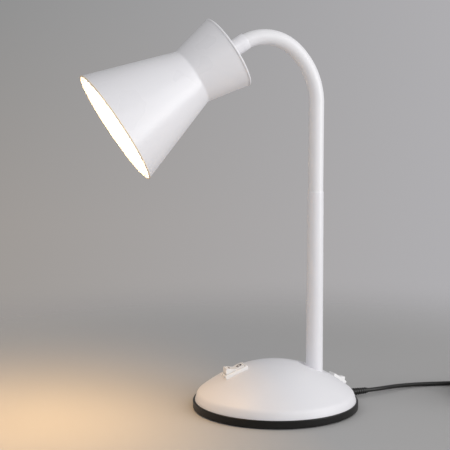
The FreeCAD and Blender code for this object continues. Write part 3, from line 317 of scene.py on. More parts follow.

# Which finish each solid takes
SOLID_FINISH = {
    "foot_pad": BLACK_RUBBER,
    "base_tray": BLACK_ABS,
    "base_cover": WHITE_ABS,
    "counterweight": CAST_IRON,
    "base_screws": ZINC,
    "front_switch_housing": SWITCH_ABS,
    "front_switch_rocker": SWITCH_ABS,
    "front_switch_terminals": BRASS,
    "rear_switch_housing": SWITCH_ABS,
    "rear_switch_rocker": SWITCH_ABS,
    "rear_switch_terminals": BRASS,
    "pole_tube": WHITE_COAT,
    "pole_nipple": ZINC,
    "pole_washer": ZINC,
    "pole_nut": ZINC,
    "pole_collar": WHITE_COAT,
    "neck_ferrule": WHITE_COAT,
    "shade": WHITE_COAT,
    "shade_cap": WHITE_COAT,
    "holder_nut": ZINC,
    "holder_housing": HOLDER_RESIN,
    "holder_insulator": CERAMIC,
    "holder_screw_shell": BRASS,
    "holder_contact": BRASS,
    "bulb_cap": BULB_CAP_METAL,
    "bulb_glass": OPAL_GLASS,
    "strain_relief": BLACK_PVC,
    "cord_tie": BLACK_NYLON,
    "plug_body": BLACK_PVC,
    "plug_pins": PIN_PLATE,
}


def place_in_scene(name: str, mesh: bpy.types.Mesh) -> bpy.types.Object:
    """Put a new object that shows a mesh at the origin.

    Args:
        name: the object's name.
        mesh: its mesh, which holds its place.

    Returns:
        The object.
    """
    piece = bpy.data.objects.new(name, mesh)
    bpy.context.scene.collection.objects.link(piece)
    return piece


def mesh_of(name: str, work: bmesh.types.BMesh) -> bpy.types.Mesh:
    """Turn a finished bmesh into a mesh.

    Args:
        name: the mesh's name.
        work: the bmesh, which is freed.

    Returns:
        The mesh.
    """
    mesh = bpy.data.meshes.new(name)
    work.to_mesh(mesh)
    work.free()
    return mesh


def ways_round(count: int) -> list[Vector]:
    """Spread directions evenly round the Z axis.

    Args:
        count: how many there are.

    Returns:
        Unit vectors, from +X towards +Y.
    """
    angles = [2 * math.pi * index / count for index in range(count)]
    return [Vector((math.cos(angle), math.sin(angle), 0)) for angle in angles]


def join_rows(work: bmesh.types.BMesh, rows: list[list[Vector]]) -> None:
    """Join a ring of closed outlines into one skin.

    Args:
        work: the mesh that gets the skin.
        rows: each outline's corners, in metres.
    """
    made = [[work.verts.new(corner) for corner in row] for row in rows]
    for index, row in enumerate(made):
        after = made[(index + 1) % len(made)]
        for k, corner in enumerate(row):
            nxt = (k + 1) % len(row)
            work.faces.new((corner, row[nxt], after[nxt], after[k]))


def dress(piece: bpy.types.Object, finish: Finish, body: str) -> bpy.types.Object:
    """Give a piece its finish and the body it rides on.

    Args:
        piece: the piece, in its place.
        finish: the finish it shows.
        body: the body that it moves with.

    Returns:
        The same piece.
    """
    piece.data.materials.clear()
    piece.data.materials.append(finish.material())
    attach(piece, body)
    return piece


def joint(name: str) -> dict[str, Any]:
    """Find one joint of the record.

    Args:
        name: the joint's name.

    Returns:
        The joint's row, with its place, axis, parent and child.
    """
    return next(row for row in frame["joints"] if row["name"] == name)


def crease(work: bmesh.types.BMesh, degrees: float) -> None:
    """Shade a mesh smoothly, apart from its sharp edges.

    Args:
        work: the mesh.
        degrees: the angle from which an edge is sharp.
    """
    limit = math.radians(degrees)
    for face in work.faces:
        face.smooth = True
    for edge in work.edges:
        edge.smooth = len(edge.link_faces) == 2 and edge.calc_face_angle(0) < limit


@dataclass(frozen=True)
class SmoothCopy:
    """A solid's own surface, merged and smoothly shaded, which stands for the solid."""

    node: str
    sharp_degrees: float = 32.0

    def build(self) -> bpy.types.Object:
        """Make the piece, with its finish.

        Returns:
            The piece, which replaces its node.
        """
        source = frame["nodes"][self.node]
        mesh = bpy.data.meshes.new(self.node + "_surface")
        corners = [vertex.co.copy() for vertex in source.data.vertices]
        faces = [tuple(face.vertices) for face in source.data.polygons]
        mesh.from_pydata(corners, [], faces)
        work = bmesh.new()
        work.from_mesh(mesh)
        bmesh.ops.remove_doubles(work, verts=work.verts, dist=MERGE_REACH)
        crease(work, self.sharp_degrees)
        work.to_mesh(mesh)
        work.free()
        piece = place_in_scene(self.node + "_surface", mesh)
        even = piece.modifiers.new("even shading", "WEIGHTED_NORMAL")
        even.keep_sharp = True
        dress(piece, SOLID_FINISH[self.node], source["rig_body"])
        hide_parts(self.node)
        return piece


def grown(
    name: str,
    seed: bpy.types.Mesh,
    tree: bpy.types.NodeTree,
    values: dict[str, Any],
    wall: float = 0.0,
) -> bpy.types.Object:
    """Grow a piece from a seed mesh by a geometry tree, and return it as a plain mesh.

    Args:
        name: the piece's name.
        seed: the mesh that the tree starts from.
        tree: the geometry tree.
        values: the tree's named inputs.
        wall: the thickness given inwards to an open skin, or 0.

    Returns:
        An object with the result and no modifier.
    """
    holder = place_in_scene(name + "_seed", seed)
    modifier = holder.modifiers.new("grow", "NODES")
    modifier.node_group = tree
    sockets = {item.name: item.identifier for item in tree.interface.items_tree}
    for key, value in values.items():
        modifier[sockets[key]] = value
    if wall:
        skin = holder.modifiers.new("wall", "SOLIDIFY")
        skin.thickness = wall
        skin.offset = -1.0
        skin.use_even_offset = True
    bpy.context.view_layer.update()
    seen = holder.evaluated_get(bpy.context.evaluated_depsgraph_get())
    mesh = bpy.data.meshes.new_from_object(seen)
    mesh.name = name
    bpy.data.objects.remove(holder)
    work = bmesh.new()
    work.from_mesh(mesh)
    crease(work, SKIN_CREASE)
    work.to_mesh(mesh)
    work.free()
    return place_in_scene(name, mesh)


def tree_with(
    name: str, sockets: Sequence[tuple[str, str]]
) -> tuple[bpy.types.NodeTree, bpy.types.Node, bpy.types.Node]:
    """Start a geometry tree with named inputs.

    Args:
        name: the tree's name.
        sockets: the name and kind of each input past the geometry.

    Returns:
        The tree, its input node and its output node.
    """
    tree = bpy.data.node_groups.new(name, "GeometryNodeTree")
    face = tree.interface
    face.new_socket("Geometry", in_out="INPUT", socket_type="NodeSocketGeometry")
    for label, kind in sockets:
        face.new_socket(label, in_out="INPUT", socket_type=kind)
    face.new_socket("Geometry", in_out="OUTPUT", socket_type="NodeSocketGeometry")
    return tree, add(tree, "NodeGroupInput"), add(tree, "NodeGroupOutput")


def finished(
    tree: bpy.types.NodeTree,
    shape: bpy.types.NodeSocket,
    material: bpy.types.NodeSocket,
    last: bpy.types.Node,
) -> None:
    """End a tree: smooth shading, real geometry in place of instances, and its material.

    Args:
        tree: the tree.
        shape: the socket with the shape so far.
        material: the socket with the material.
        last: the tree's output node.
    """
    real = add(tree, "GeometryNodeRealizeInstances", inputs={"Geometry": shape})
    smooth = add(tree, "GeometryNodeSetShadeSmooth", inputs={"Geometry": real.outputs["Geometry"]})
    dressed = add(tree, "GeometryNodeSetMaterial", inputs={
        "Geometry": smooth.outputs["Geometry"], "Material": material,
    })
    tree.links.new(dressed.outputs["Geometry"], last.inputs["Geometry"])


def tube_tree() -> bpy.types.NodeTree:
    """Make the tree that sweeps a round skin along a seed mesh's line of points.

    Returns:
        The tree. Its Spare Rings are swept at each end, so that the ends are square to the true
        line, and are then cut off.
    """
    tree, first, last = tree_with("round skin along a line", (
        ("Radius", "NodeSocketFloat"),
        ("Sides", "NodeSocketInt"),
        ("Spare Rings", "NodeSocketInt"),
        ("Material", "NodeSocketMaterial"),
    ))
    line = add(tree, "GeometryNodeMeshToCurve", inputs={"Mesh": first.outputs["Geometry"]})
    circle = add(tree, "GeometryNodeCurvePrimitiveCircle", {"mode": "RADIUS"}, {
        "Resolution": first.outputs["Sides"], "Radius": first.outputs["Radius"],
    })
    skin = add(tree, "GeometryNodeCurveToMesh", inputs={
        "Curve": line.outputs["Curve"], "Profile Curve": circle.outputs["Curve"],
    })
    spare = add(tree, "ShaderNodeMath", {"operation": "MULTIPLY"}, {
        0: first.outputs["Sides"], 1: first.outputs["Spare Rings"],
    })
    size = add(tree, "GeometryNodeAttributeDomainSize", inputs={"Geometry": skin.outputs["Mesh"]})
    kept = add(tree, "ShaderNodeMath", {"operation": "SUBTRACT"}, {
        0: size.outputs["Point Count"], 1: spare.outputs[0],
    })
    index = add(tree, "GeometryNodeInputIndex").outputs["Index"]
    early = add(tree, "FunctionNodeCompare", {"data_type": "INT", "operation": "LESS_THAN"}, {
        2: index, 3: spare.outputs[0],
    })
    late = add(tree, "FunctionNodeCompare", {"data_type": "INT", "operation": "GREATER_EQUAL"}, {
        2: index, 3: kept.outputs[0],
    })
    either = add(tree, "FunctionNodeBooleanMath", {"operation": "OR"}, {
        0: early.outputs[0], 1: late.outputs[0],
    })
    cut = add(tree, "GeometryNodeDeleteGeometry", {"domain": "POINT"}, {
        "Geometry": skin.outputs["Mesh"], "Selection": either.outputs[0],
    })
    finished(tree, cut.outputs["Geometry"], first.outputs["Material"], last)
    return tree


def ribs_tree() -> bpy.types.NodeTree:
    """Make the tree that sets evenly spaced, shrinking ribs round a cone.

    Returns:
        The tree.
    """
    tree, first, last = tree_with("ribs round a cone", (
        ("Count", "NodeSocketInt"),
        ("Start", "NodeSocketVector"),
        ("Step", "NodeSocketVector"),
        ("Turn", "NodeSocketVector"),
        ("First Radius", "NodeSocketFloat"),
        ("Last Share", "NodeSocketFloat"),
        ("Rib Radius", "NodeSocketFloat"),
        ("Material", "NodeSocketMaterial"),
    ))
    ring = add(tree, "GeometryNodeCurvePrimitiveCircle", {"mode": "RADIUS"}, {
        "Resolution": RIB_POINTS, "Radius": first.outputs["First Radius"],
    })
    bead = add(tree, "GeometryNodeCurvePrimitiveCircle", {"mode": "RADIUS"}, {
        "Resolution": RIB_SIDES, "Radius": first.outputs["Rib Radius"],
    })
    rib = add(tree, "GeometryNodeCurveToMesh", inputs={
        "Curve": ring.outputs["Curve"], "Profile Curve": bead.outputs["Curve"],
    })
    row = add(tree, "GeometryNodeMeshLine", {"mode": "OFFSET"}, {
        "Count": first.outputs["Count"],
        "Start Location": first.outputs["Start"],
        "Offset": first.outputs["Step"],
    })
    index = add(tree, "GeometryNodeInputIndex")
    span = add(tree, "ShaderNodeMath", {"operation": "SUBTRACT"}, {
        0: first.outputs["Count"], 1: 1,
    })
    share = add(tree, "ShaderNodeMapRange", inputs={
        "Value": index.outputs["Index"],
        "From Max": span.outputs[0],
        "To Min": 1.0,
        "To Max": first.outputs["Last Share"],
    })
    placed = add(tree, "GeometryNodeInstanceOnPoints", inputs={
        "Points": row.outputs["Mesh"],
        "Instance": rib.outputs["Mesh"],
        "Rotation": first.outputs["Turn"],
        "Scale": share.outputs["Result"],
    })
    finished(tree, placed.outputs["Instances"], first.outputs["Material"], last)
    return tree


@dataclass
class Studio:
    """The camera at the photograph's angle, a pale floor and soft lamps."""

    camera_at: tuple[float, float, float] = (-0.2995, -0.9796, 0.2801)
    camera_way: tuple[float, float, float] = (0.24934, 0.96136, -0.11667)
    lens_mm: float = 96.0
    sensor_mm: float = 36.0
    clip_start: float = 0.05
    floor_radius: float = 0.75
    floor_segments: int = 96
    fade_from: float = 0.2
    floor_colour: str = "#B8B7B7"
    floor_deep: str = "#B4B3B3"
    floor_mottle: float = 0.35
    floor_roughness: float = 0.85
    floor_specular: float = 0.2
    ambient: float = 0.46
    backdrop_low: str = "#9F9A96"
    backdrop_high: str = "#909090"
    backdrop_right: str = "#B0AFB2"
    backdrop_way: tuple[float, float, float] = (0.968, -0.251, 0.0)
    backdrop_across: tuple[float, float] = (-0.2, 0.2)
    backdrop_rise: tuple[float, float] = (-0.115, 0.07)
    aim: tuple[float, float, float] = (-0.02, 0.0, 0.15)
    # Each soft box: its name, its place and its side in metres, and its power in watts
    lamps: tuple[tuple[str, tuple[float, float, float], float, float], ...] = (
        ("low_key", (1.35, -0.95, 0.35), 0.75, 7.9),
        ("high_key", (1.2, -1.0, 1.1), 0.8, 5.9),
        ("front_fill", (0.1, -1.7, 0.9), 1.2, 7.6),
    )

    def build(self) -> None:
        """Make the camera, the floor, the world and the lamps."""
        self.make_camera()
        self.make_floor()
        self.make_world()
        for name, at, size, power in self.lamps:
            self.make_lamp(name, at, size, power)
            log.info("studio: %s", name)

    def make_camera(self) -> None:
        """Aim the camera as the photograph's was."""
        data = bpy.data.cameras.new("camera")
        data.lens = self.lens_mm
        data.sensor_width = self.sensor_mm
        data.clip_start = self.clip_start
        camera = bpy.data.objects.new("camera", data)
        bpy.context.scene.collection.objects.link(camera)
        camera.location = self.camera_at
        camera.rotation_euler = Vector(self.camera_way).to_track_quat("-Z", "Y").to_euler()
        bpy.context.scene.camera = camera

    def make_floor(self) -> None:
        """Lay a plain pale floor."""
        work = bmesh.new()
        bmesh.ops.create_circle(
            work, cap_ends=True, segments=self.floor_segments, radius=self.floor_radius,
        )
        mesh = mesh_of("floor", work)
        mesh.materials.append(self.paper())
        place_in_scene("floor", mesh)

    def paper(self) -> bpy.types.Material:
        """Make the floor's matt grey paper, which fades out into the backdrop far off.

        Returns:
            The node material.
        """
        made = bpy.data.materials.new("matt_grey_studio_paper")
        made.use_nodes = True
        tree = made.node_tree
        tree.nodes.clear()
        place = add(tree, "ShaderNodeTexCoord").outputs["Object"]
        reach = add(tree, "ShaderNodeVectorMath", {"operation": "LENGTH"}, {0: place})
        fade = add(tree, "ShaderNodeMapRange", {"interpolation_type": "SMOOTHERSTEP"}, {
            "Value": reach.outputs["Value"],
            "From Min": self.fade_from,
            "From Max": self.floor_radius,
        })
        mottle = add(tree, "ShaderNodeTexNoise", inputs={
            "Vector": place, "Scale": 1 / self.floor_mottle,
        })
        tone = add(tree, "ShaderNodeMix", {"data_type": "RGBA"}, {
            0: mottle.outputs[0],
            6: linear(self.floor_deep),
            7: linear(self.floor_colour),
        })
        matt = add(tree, "ShaderNodeBsdfPrincipled", inputs={
            "Base Color": tone.outputs[2],
            "Roughness": self.floor_roughness,
            "Specular IOR Level": self.floor_specular,
        })
        clear = add(tree, "ShaderNodeBsdfTransparent")
        mixed = add(tree, "ShaderNodeMixShader", inputs={
            0: fade.outputs["Result"], 1: matt.outputs["BSDF"], 2: clear.outputs["BSDF"],
        })
        add(tree, "ShaderNodeOutputMaterial", inputs={"Surface": mixed.outputs["Shader"]})
        return made

    def make_world(self) -> None:
        """Light everything a little from all round, with a plain backdrop behind."""
        world = bpy.data.worlds.new("studio")
        bpy.context.scene.world = world
        world.use_nodes = True
        tree = world.node_tree
        tree.nodes.clear()
        rays = add(tree, "ShaderNodeLightPath").outputs
        seen = rays["Is Camera Ray"]
        for kind in ("Is Glossy Ray", "Is Transmission Ray"):
            seen = add(tree, "ShaderNodeMath", {"operation": "ADD", "use_clamp": True}, {
                0: seen, 1: rays[kind],
            }).outputs[0]
        around = add(tree, "ShaderNodeBackground", inputs={
            "Color": linear("#FFFFFF"), "Strength": self.ambient,
        })
        behind = add(tree, "ShaderNodeBackground", inputs={
            "Color": self.backdrop(tree), "Strength": 1.0,
        })
        shown = add(tree, "ShaderNodeMixShader", inputs={
            0: seen, 1: around.outputs["Background"], 2: behind.outputs["Background"],
        })
        add(tree, "ShaderNodeOutputWorld", inputs={"Surface": shown.outputs["Shader"]})

    def backdrop(self, tree: bpy.types.NodeTree) -> bpy.types.NodeSocket:
        """Add the nodes of the backdrop, which changes in tone upwards and to the right.

        Args:
            tree: the world's tree.

        Returns:
            The socket with the backdrop's colour.
        """
        way = add(tree, "ShaderNodeTexCoord").outputs["Generated"]
        shares = []
        for axis, (low, high) in (
            (self.backdrop_way, self.backdrop_across), ((0, 0, 1), self.backdrop_rise),
        ):
            along = add(tree, "ShaderNodeVectorMath", {"operation": "DOT_PRODUCT"}, {
                0: way, 1: axis,
            })
            shares.append(add(tree, "ShaderNodeMapRange", inputs={
                "Value": along.outputs["Value"], "From Min": low, "From Max": high,
            }).outputs["Result"])
        left = add(tree, "ShaderNodeMix", {"data_type": "RGBA"}, {
            0: shares[1], 6: linear(self.backdrop_low), 7: linear(self.backdrop_high),
        })
        return add(tree, "ShaderNodeMix", {"data_type": "RGBA"}, {
            0: shares[0], 6: left.outputs[2], 7: linear(self.backdrop_right),
        }).outputs[2]

    def make_lamp(self, name: str, at: Sequence[float], size: float, power: float) -> None:
        """Hang a square soft box that faces the lamp's middle.

        Args:
            name: the light's name.
            at: its place, in metres.
            size: the length of its side, in metres.
            power: its power in watts.
        """
        data = bpy.data.lights.new(name, "AREA")
        data.size = size
        data.energy = power
        light = bpy.data.objects.new(name, data)
        bpy.context.scene.collection.objects.link(light)
        light.location = at
        way = Vector(self.aim) - Vector(at)
        light.rotation_euler = way.to_track_quat("-Z", "Y").to_euler()


@dataclass
class MainsLead:
    """The black lead: its free stretch, the coil of its spare length, tie, plug and relief."""

    radius: float = 1.9
    exit_radius: float = 92.0
    exit_angle: float = 9.0
    exit_height: float = 5.2
    route: tuple[tuple[float, float, float], ...] = (
        (102.75, 16.274, 5.2),
        (121.4, 25.9, 4.0),
        (142.7, 32.3, 2.7),
        (163.7, 32.8, 2.05),
        (181.6, 29.6, 2.3),
        (196.0, 25.6, 2.65),
        (207.3, 21.51, 2.65),
    )
    coil_radius: float = 27.0
    coil_inset: float = 0.02
    pitch: float = 4.95
    layers: int = 4
    half_turns: int = 4
    last_radius: float = 20.0
    exit_at: float = 17.0
    plug_rise: float = 28.8
    points_per_half: int = 8
    total_length: float = 1.5287
    tube_steps: int = 5
    line_steps: int = 6
    ribs: int = 7
    rib_radius: float = 0.55
    rib_pitch: float = 2.3
    relief_at: float = 76.0
    relief_radii: tuple[float, float] = (2.9, 2.45)
    tail_ribs_at: float = 16.5
    tail_radii: tuple[float, float] = (3.35, 2.5)

    def __post_init__(self) -> None:
        """Work out the coil's own directions."""
        end = Vector(self.route[-1])
        way = end - Vector(self.route[-2])
        self.way = Vector((way.x, way.y, 0)).normalized()
        self.side = Vector((self.way.y, -self.way.x, 0))
        self.centre = end + self.way * 2 * self.radius + self.side * self.coil_radius

    def exit_point(self) -> Vector:
        """Work out where the lead leaves its strain relief.

        Returns:
            The point, in metres.
        """
        angle = math.radians(self.exit_angle)
        at = (math.cos(angle) * self.exit_radius, math.sin(angle) * self.exit_radius)
        return Vector((*at, self.exit_height)) * MM

    def coil_points(self) -> list[Vector]:
        """Work out the coil: spirals in and out, with a climb at each turn-back.

        Returns:
            Its control points, in millimetres.
        """
        points = []
        step_angle = math.pi / self.points_per_half
        outward = 1 / math.cos(step_angle / 2)
        state = [1.0, self.coil_radius, 0.0]

        def wind(new_radius: float, new_height: float, halves: float = 1.0) -> None:
            """Wind on by a half turn, or by a part of one.

            Args:
                new_radius: the radius at its end, in millimetres.
                new_height: the height at its end, in millimetres.
                halves: how many half turns it takes.
            """
            side, radius, height = state
            count = round(self.points_per_half * halves)
            for index in range(1, count + 1):
                angle = step_angle * index
                share = (1 - math.cos(angle / halves)) / 2
                reach = (radius + (new_radius - radius) * share) * outward - self.coil_inset
                out = -self.side * side * math.cos(angle) + self.way * side * math.sin(angle)
                lift = Vector((0, 0, height + (new_height - height) * share))
                points.append(self.centre + out * reach + lift)
            state[:] = [-side, new_radius, new_height]

        points.append(self.centre - self.side * self.coil_radius * outward)
        inward = -self.pitch / 2
        for layer in range(self.layers):
            last = layer == self.layers - 1
            for _ in range(self.half_turns - 1 if last else self.half_turns):
                wind(state[1] + inward, state[2])
            inward = -inward
            wind(state[1], state[2] + self.pitch)
        wind(self.last_radius, state[2])
        wind(self.exit_at, self.plug_rise, 0.5)
        return points

    def tail(self) -> list[Vector]:
        """Work out the last points, which run straight into the plug.

        Returns:
            The points, in millimetres.
        """
        start = self.centre + self.way * self.exit_at + Vector((0, 0, self.plug_rise))
        return [start + self.side * reach * self.radius for reach in (1, 2)]

    def build(self) -> None:
        """Make the lead as one smooth curve, with its plug, tie and strain relief."""
        data = bpy.data.curves.new("mains_lead", "CURVE")
        data.dimensions = "3D"
        data.bevel_depth = self.radius * MM
        data.bevel_resolution = self.tube_steps
        data.resolution_u = self.line_steps
        data.use_fill_caps = True
        points = [self.exit_point()] + [Vector(p) * MM for p in self.route]
        points += [p * MM for p in self.coil_points()] + [p * MM for p in self.tail()]
        line = data.splines.new("NURBS")
        line.points.add(len(points) - 1)
        for target, point in zip(line.points, points):
            target.co = (*point, 1.0)
        line.order_u = 3
        line.use_endpoint_u = True
        lead = bpy.data.objects.new("mains_lead", data)
        bpy.context.scene.collection.objects.link(lead)
        dress(lead, BLACK_PVC, "base")
        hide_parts("cord_lead", "cord_coil")
        carried = [SmoothCopy(node).build() for node in ("plug_body", "plug_pins", "cord_tie")]
        carried.append(self.plug_ribs())
        relief = [SmoothCopy("strain_relief").build(), self.relief_ribs()]
        for piece in (lead, *carried, *relief):
            log.info("lead: %s", piece.name)

    def ribs_on(
        self, name: str, start: Vector, way: Vector, radii: tuple[float, float]
    ) -> bpy.types.Object:
        """Make the flex ribs of a tapered sleeve.

        Args:
            name: the piece's name.
            start: the first rib's centre, in millimetres.
            way: the direction in which the sleeve narrows.
            radii: the sleeve's radius at the first rib and at the last, in millimetres.

        Returns:
            The ribs as one piece on the base.
        """
        seed = bpy.data.meshes.new(name + "_seed")
        piece = grown(name, seed, ribs_tree(), {
            "Count": self.ribs,
            "Start": start * MM,
            "Step": way * self.rib_pitch * MM,
            "Turn": way.to_track_quat("Z", "Y").to_euler(),
            "First Radius": radii[0] * MM,
            "Last Share": radii[1] / radii[0],
            "Rib Radius": self.rib_radius * MM,
            "Material": BLACK_PVC.material(),
        })
        return dress(piece, BLACK_PVC, "base")

    def relief_ribs(self) -> bpy.types.Object:
        """Make the ribs of the strain relief at the base.

        Returns:
            The ribs.
        """
        angle = math.radians(self.exit_angle)
        way = Vector((math.cos(angle), math.sin(angle), 0))
        start = way * self.relief_at + Vector((0, 0, self.exit_height))
        return self.ribs_on("strain_relief_ribs", start, way, self.relief_radii)

    def plug_ribs(self) -> bpy.types.Object:
        """Make the ribs of the plug's tail.

        Returns:
            The ribs.
        """
        start = self.tail()[-1] + self.side * self.tail_ribs_at
        return self.ribs_on("plug_tail_ribs", start, -self.side, self.tail_radii)


@dataclass
class Base:
    """The domed base: cover, rim, pad, weight, screws and both rocker switches."""

    crown_arc: float = 92.0
    front_at: float = 36.5
    front_reach: float = 8.8
    rocker_centre: float = 0.28
    rocker_slope: float = 13.5
    ink: float = 0.08
    mark_at: float = 4.6
    dash: tuple[float, float] = (1.1, 4.0)
    ring_radii: tuple[float, float] = (1.4, 2.45)
    ring_points: int = 40

    def build(self) -> None:
        """Dress the solids, and print the marks on the front rocker."""
        for node in (
            "base_cover", "base_tray", "foot_pad", "counterweight", "base_screws",
            "front_switch_housing", "front_switch_rocker", "front_switch_terminals",
            "rear_switch_housing", "rear_switch_rocker", "rear_switch_terminals",
        ):
            log.info("base: %s", SmoothCopy(node).build().name)
        log.info("base: %s", self.marks().name)

    def rocker_frame(self) -> Matrix:
        """Work out where the front rocker's pivot is.

        Returns:
            Its place, with X down the dome and Z out of it.
        """
        row = joint("front_rocker_tilt")
        across = Vector(row["axis"]).normalized()
        slope = math.asin(self.front_at / self.crown_arc)
        out = Vector((-math.sin(slope), 0, math.cos(slope)))
        along = across.cross(out)
        turned = Matrix((along, across, out)).transposed().to_4x4()
        tilt = Matrix.Rotation(math.radians(-self.rocker_slope), 4, "Y")
        return Matrix.Translation(Vector(row["pos_m"])) @ turned @ tilt

    def marks(self) -> bpy.types.Object:
        """Make the on and off marks: a dash on the raised half, a ring on the pressed half.

        Returns:
            Both marks as one piece on the rocker.
        """
        work = bmesh.new()
        height = self.front_reach * self.rocker_centre
        for side, mark in ((1, self.add_dash), (-1, self.add_ring)):
            lean = Matrix.Rotation(math.radians(-side * self.rocker_slope), 4, "Y")
            base = Matrix.Translation(Vector((0, 0, height)) * MM) @ lean
            mark(work, base @ Matrix.Translation(Vector((side * self.mark_at, 0, 0)) * MM))
        bmesh.ops.transform(work, matrix=self.rocker_frame(), verts=work.verts)
        bmesh.ops.recalc_face_normals(work, faces=work.faces)
        piece = place_in_scene("front_switch_marks", mesh_of("front_switch_marks", work))
        return dress(piece, MARK_INK, "front_rocker")

    def add_dash(self, work: bmesh.types.BMesh, place: Matrix) -> None:
        """Add a flat dash of ink to a mesh.

        Args:
            work: the mesh.
            place: where the dash's middle is, with Z out of the rocker.
        """
        made = bmesh.ops.create_cube(work, size=1.0)["verts"]
        size = Matrix.Diagonal((self.dash[0] * MM, self.dash[1] * MM, 2 * self.ink * MM, 1))
        bmesh.ops.transform(work, matrix=place @ size, verts=made)

    def add_ring(self, work: bmesh.types.BMesh, place: Matrix) -> None:
        """Add a flat ring of ink to a mesh.

        Args:
            work: the mesh.
            place: where the ring's middle is, with Z out of the rocker.
        """
        inner, outer = self.ring_radii
        outline = (
            (inner, -self.ink), (outer, -self.ink), (outer, self.ink), (inner, self.ink),
        )
        join_rows(work, [
            [place @ ((way * radius + Vector((0, 0, height))) * MM) for radius, height in outline]
            for way in ways_round(self.ring_points)
        ])


@dataclass
class Pole:
    """The rigid pole, its collar and its fixing."""

    fixings: tuple[str, ...] = ("pole_nipple", "pole_washer", "pole_nut")
    outside: tuple[str, ...] = ("pole_tube", "pole_collar")
    centre_x: float = 35.5
    foot: float = 30.0
    top: float = 191.0
    core: float = 6.5
    slack: float = 0.01
    slimmer: float = 0.65
    lower: float = 3.0

    def build(self) -> None:
        """Dress the pole's solids, and taper its outside."""
        for node in self.fixings:
            log.info("pole: %s", SmoothCopy(node).build().name)
        for node in self.outside:
            piece = SmoothCopy(node).build()
            self.taper(piece)
            log.info("pole: %s", piece.name)

    def taper(self, piece: bpy.types.Object) -> None:
        """Draw a surface in towards the pole's top, and set the top a little lower.

        Args:
            piece: the surface. Only its outside moves, and its bore stays.
        """
        middle = Vector((self.centre_x, 0, 0)) * MM
        for vertex in piece.data.vertices:
            out = vertex.co - middle
            out.z = 0
            if out.length < (self.core - self.slack) * MM:
                continue
            share = (vertex.co.z / MM - self.foot) / (self.top - self.foot)
            share = min(max(share, 0.0), 1.0)
            drawn = out.length - (out.length - self.core * MM) * self.slimmer * share
            side = out.normalized() * drawn
            vertex.co = middle + side + Vector((0, 0, vertex.co.z - self.lower * share * MM))


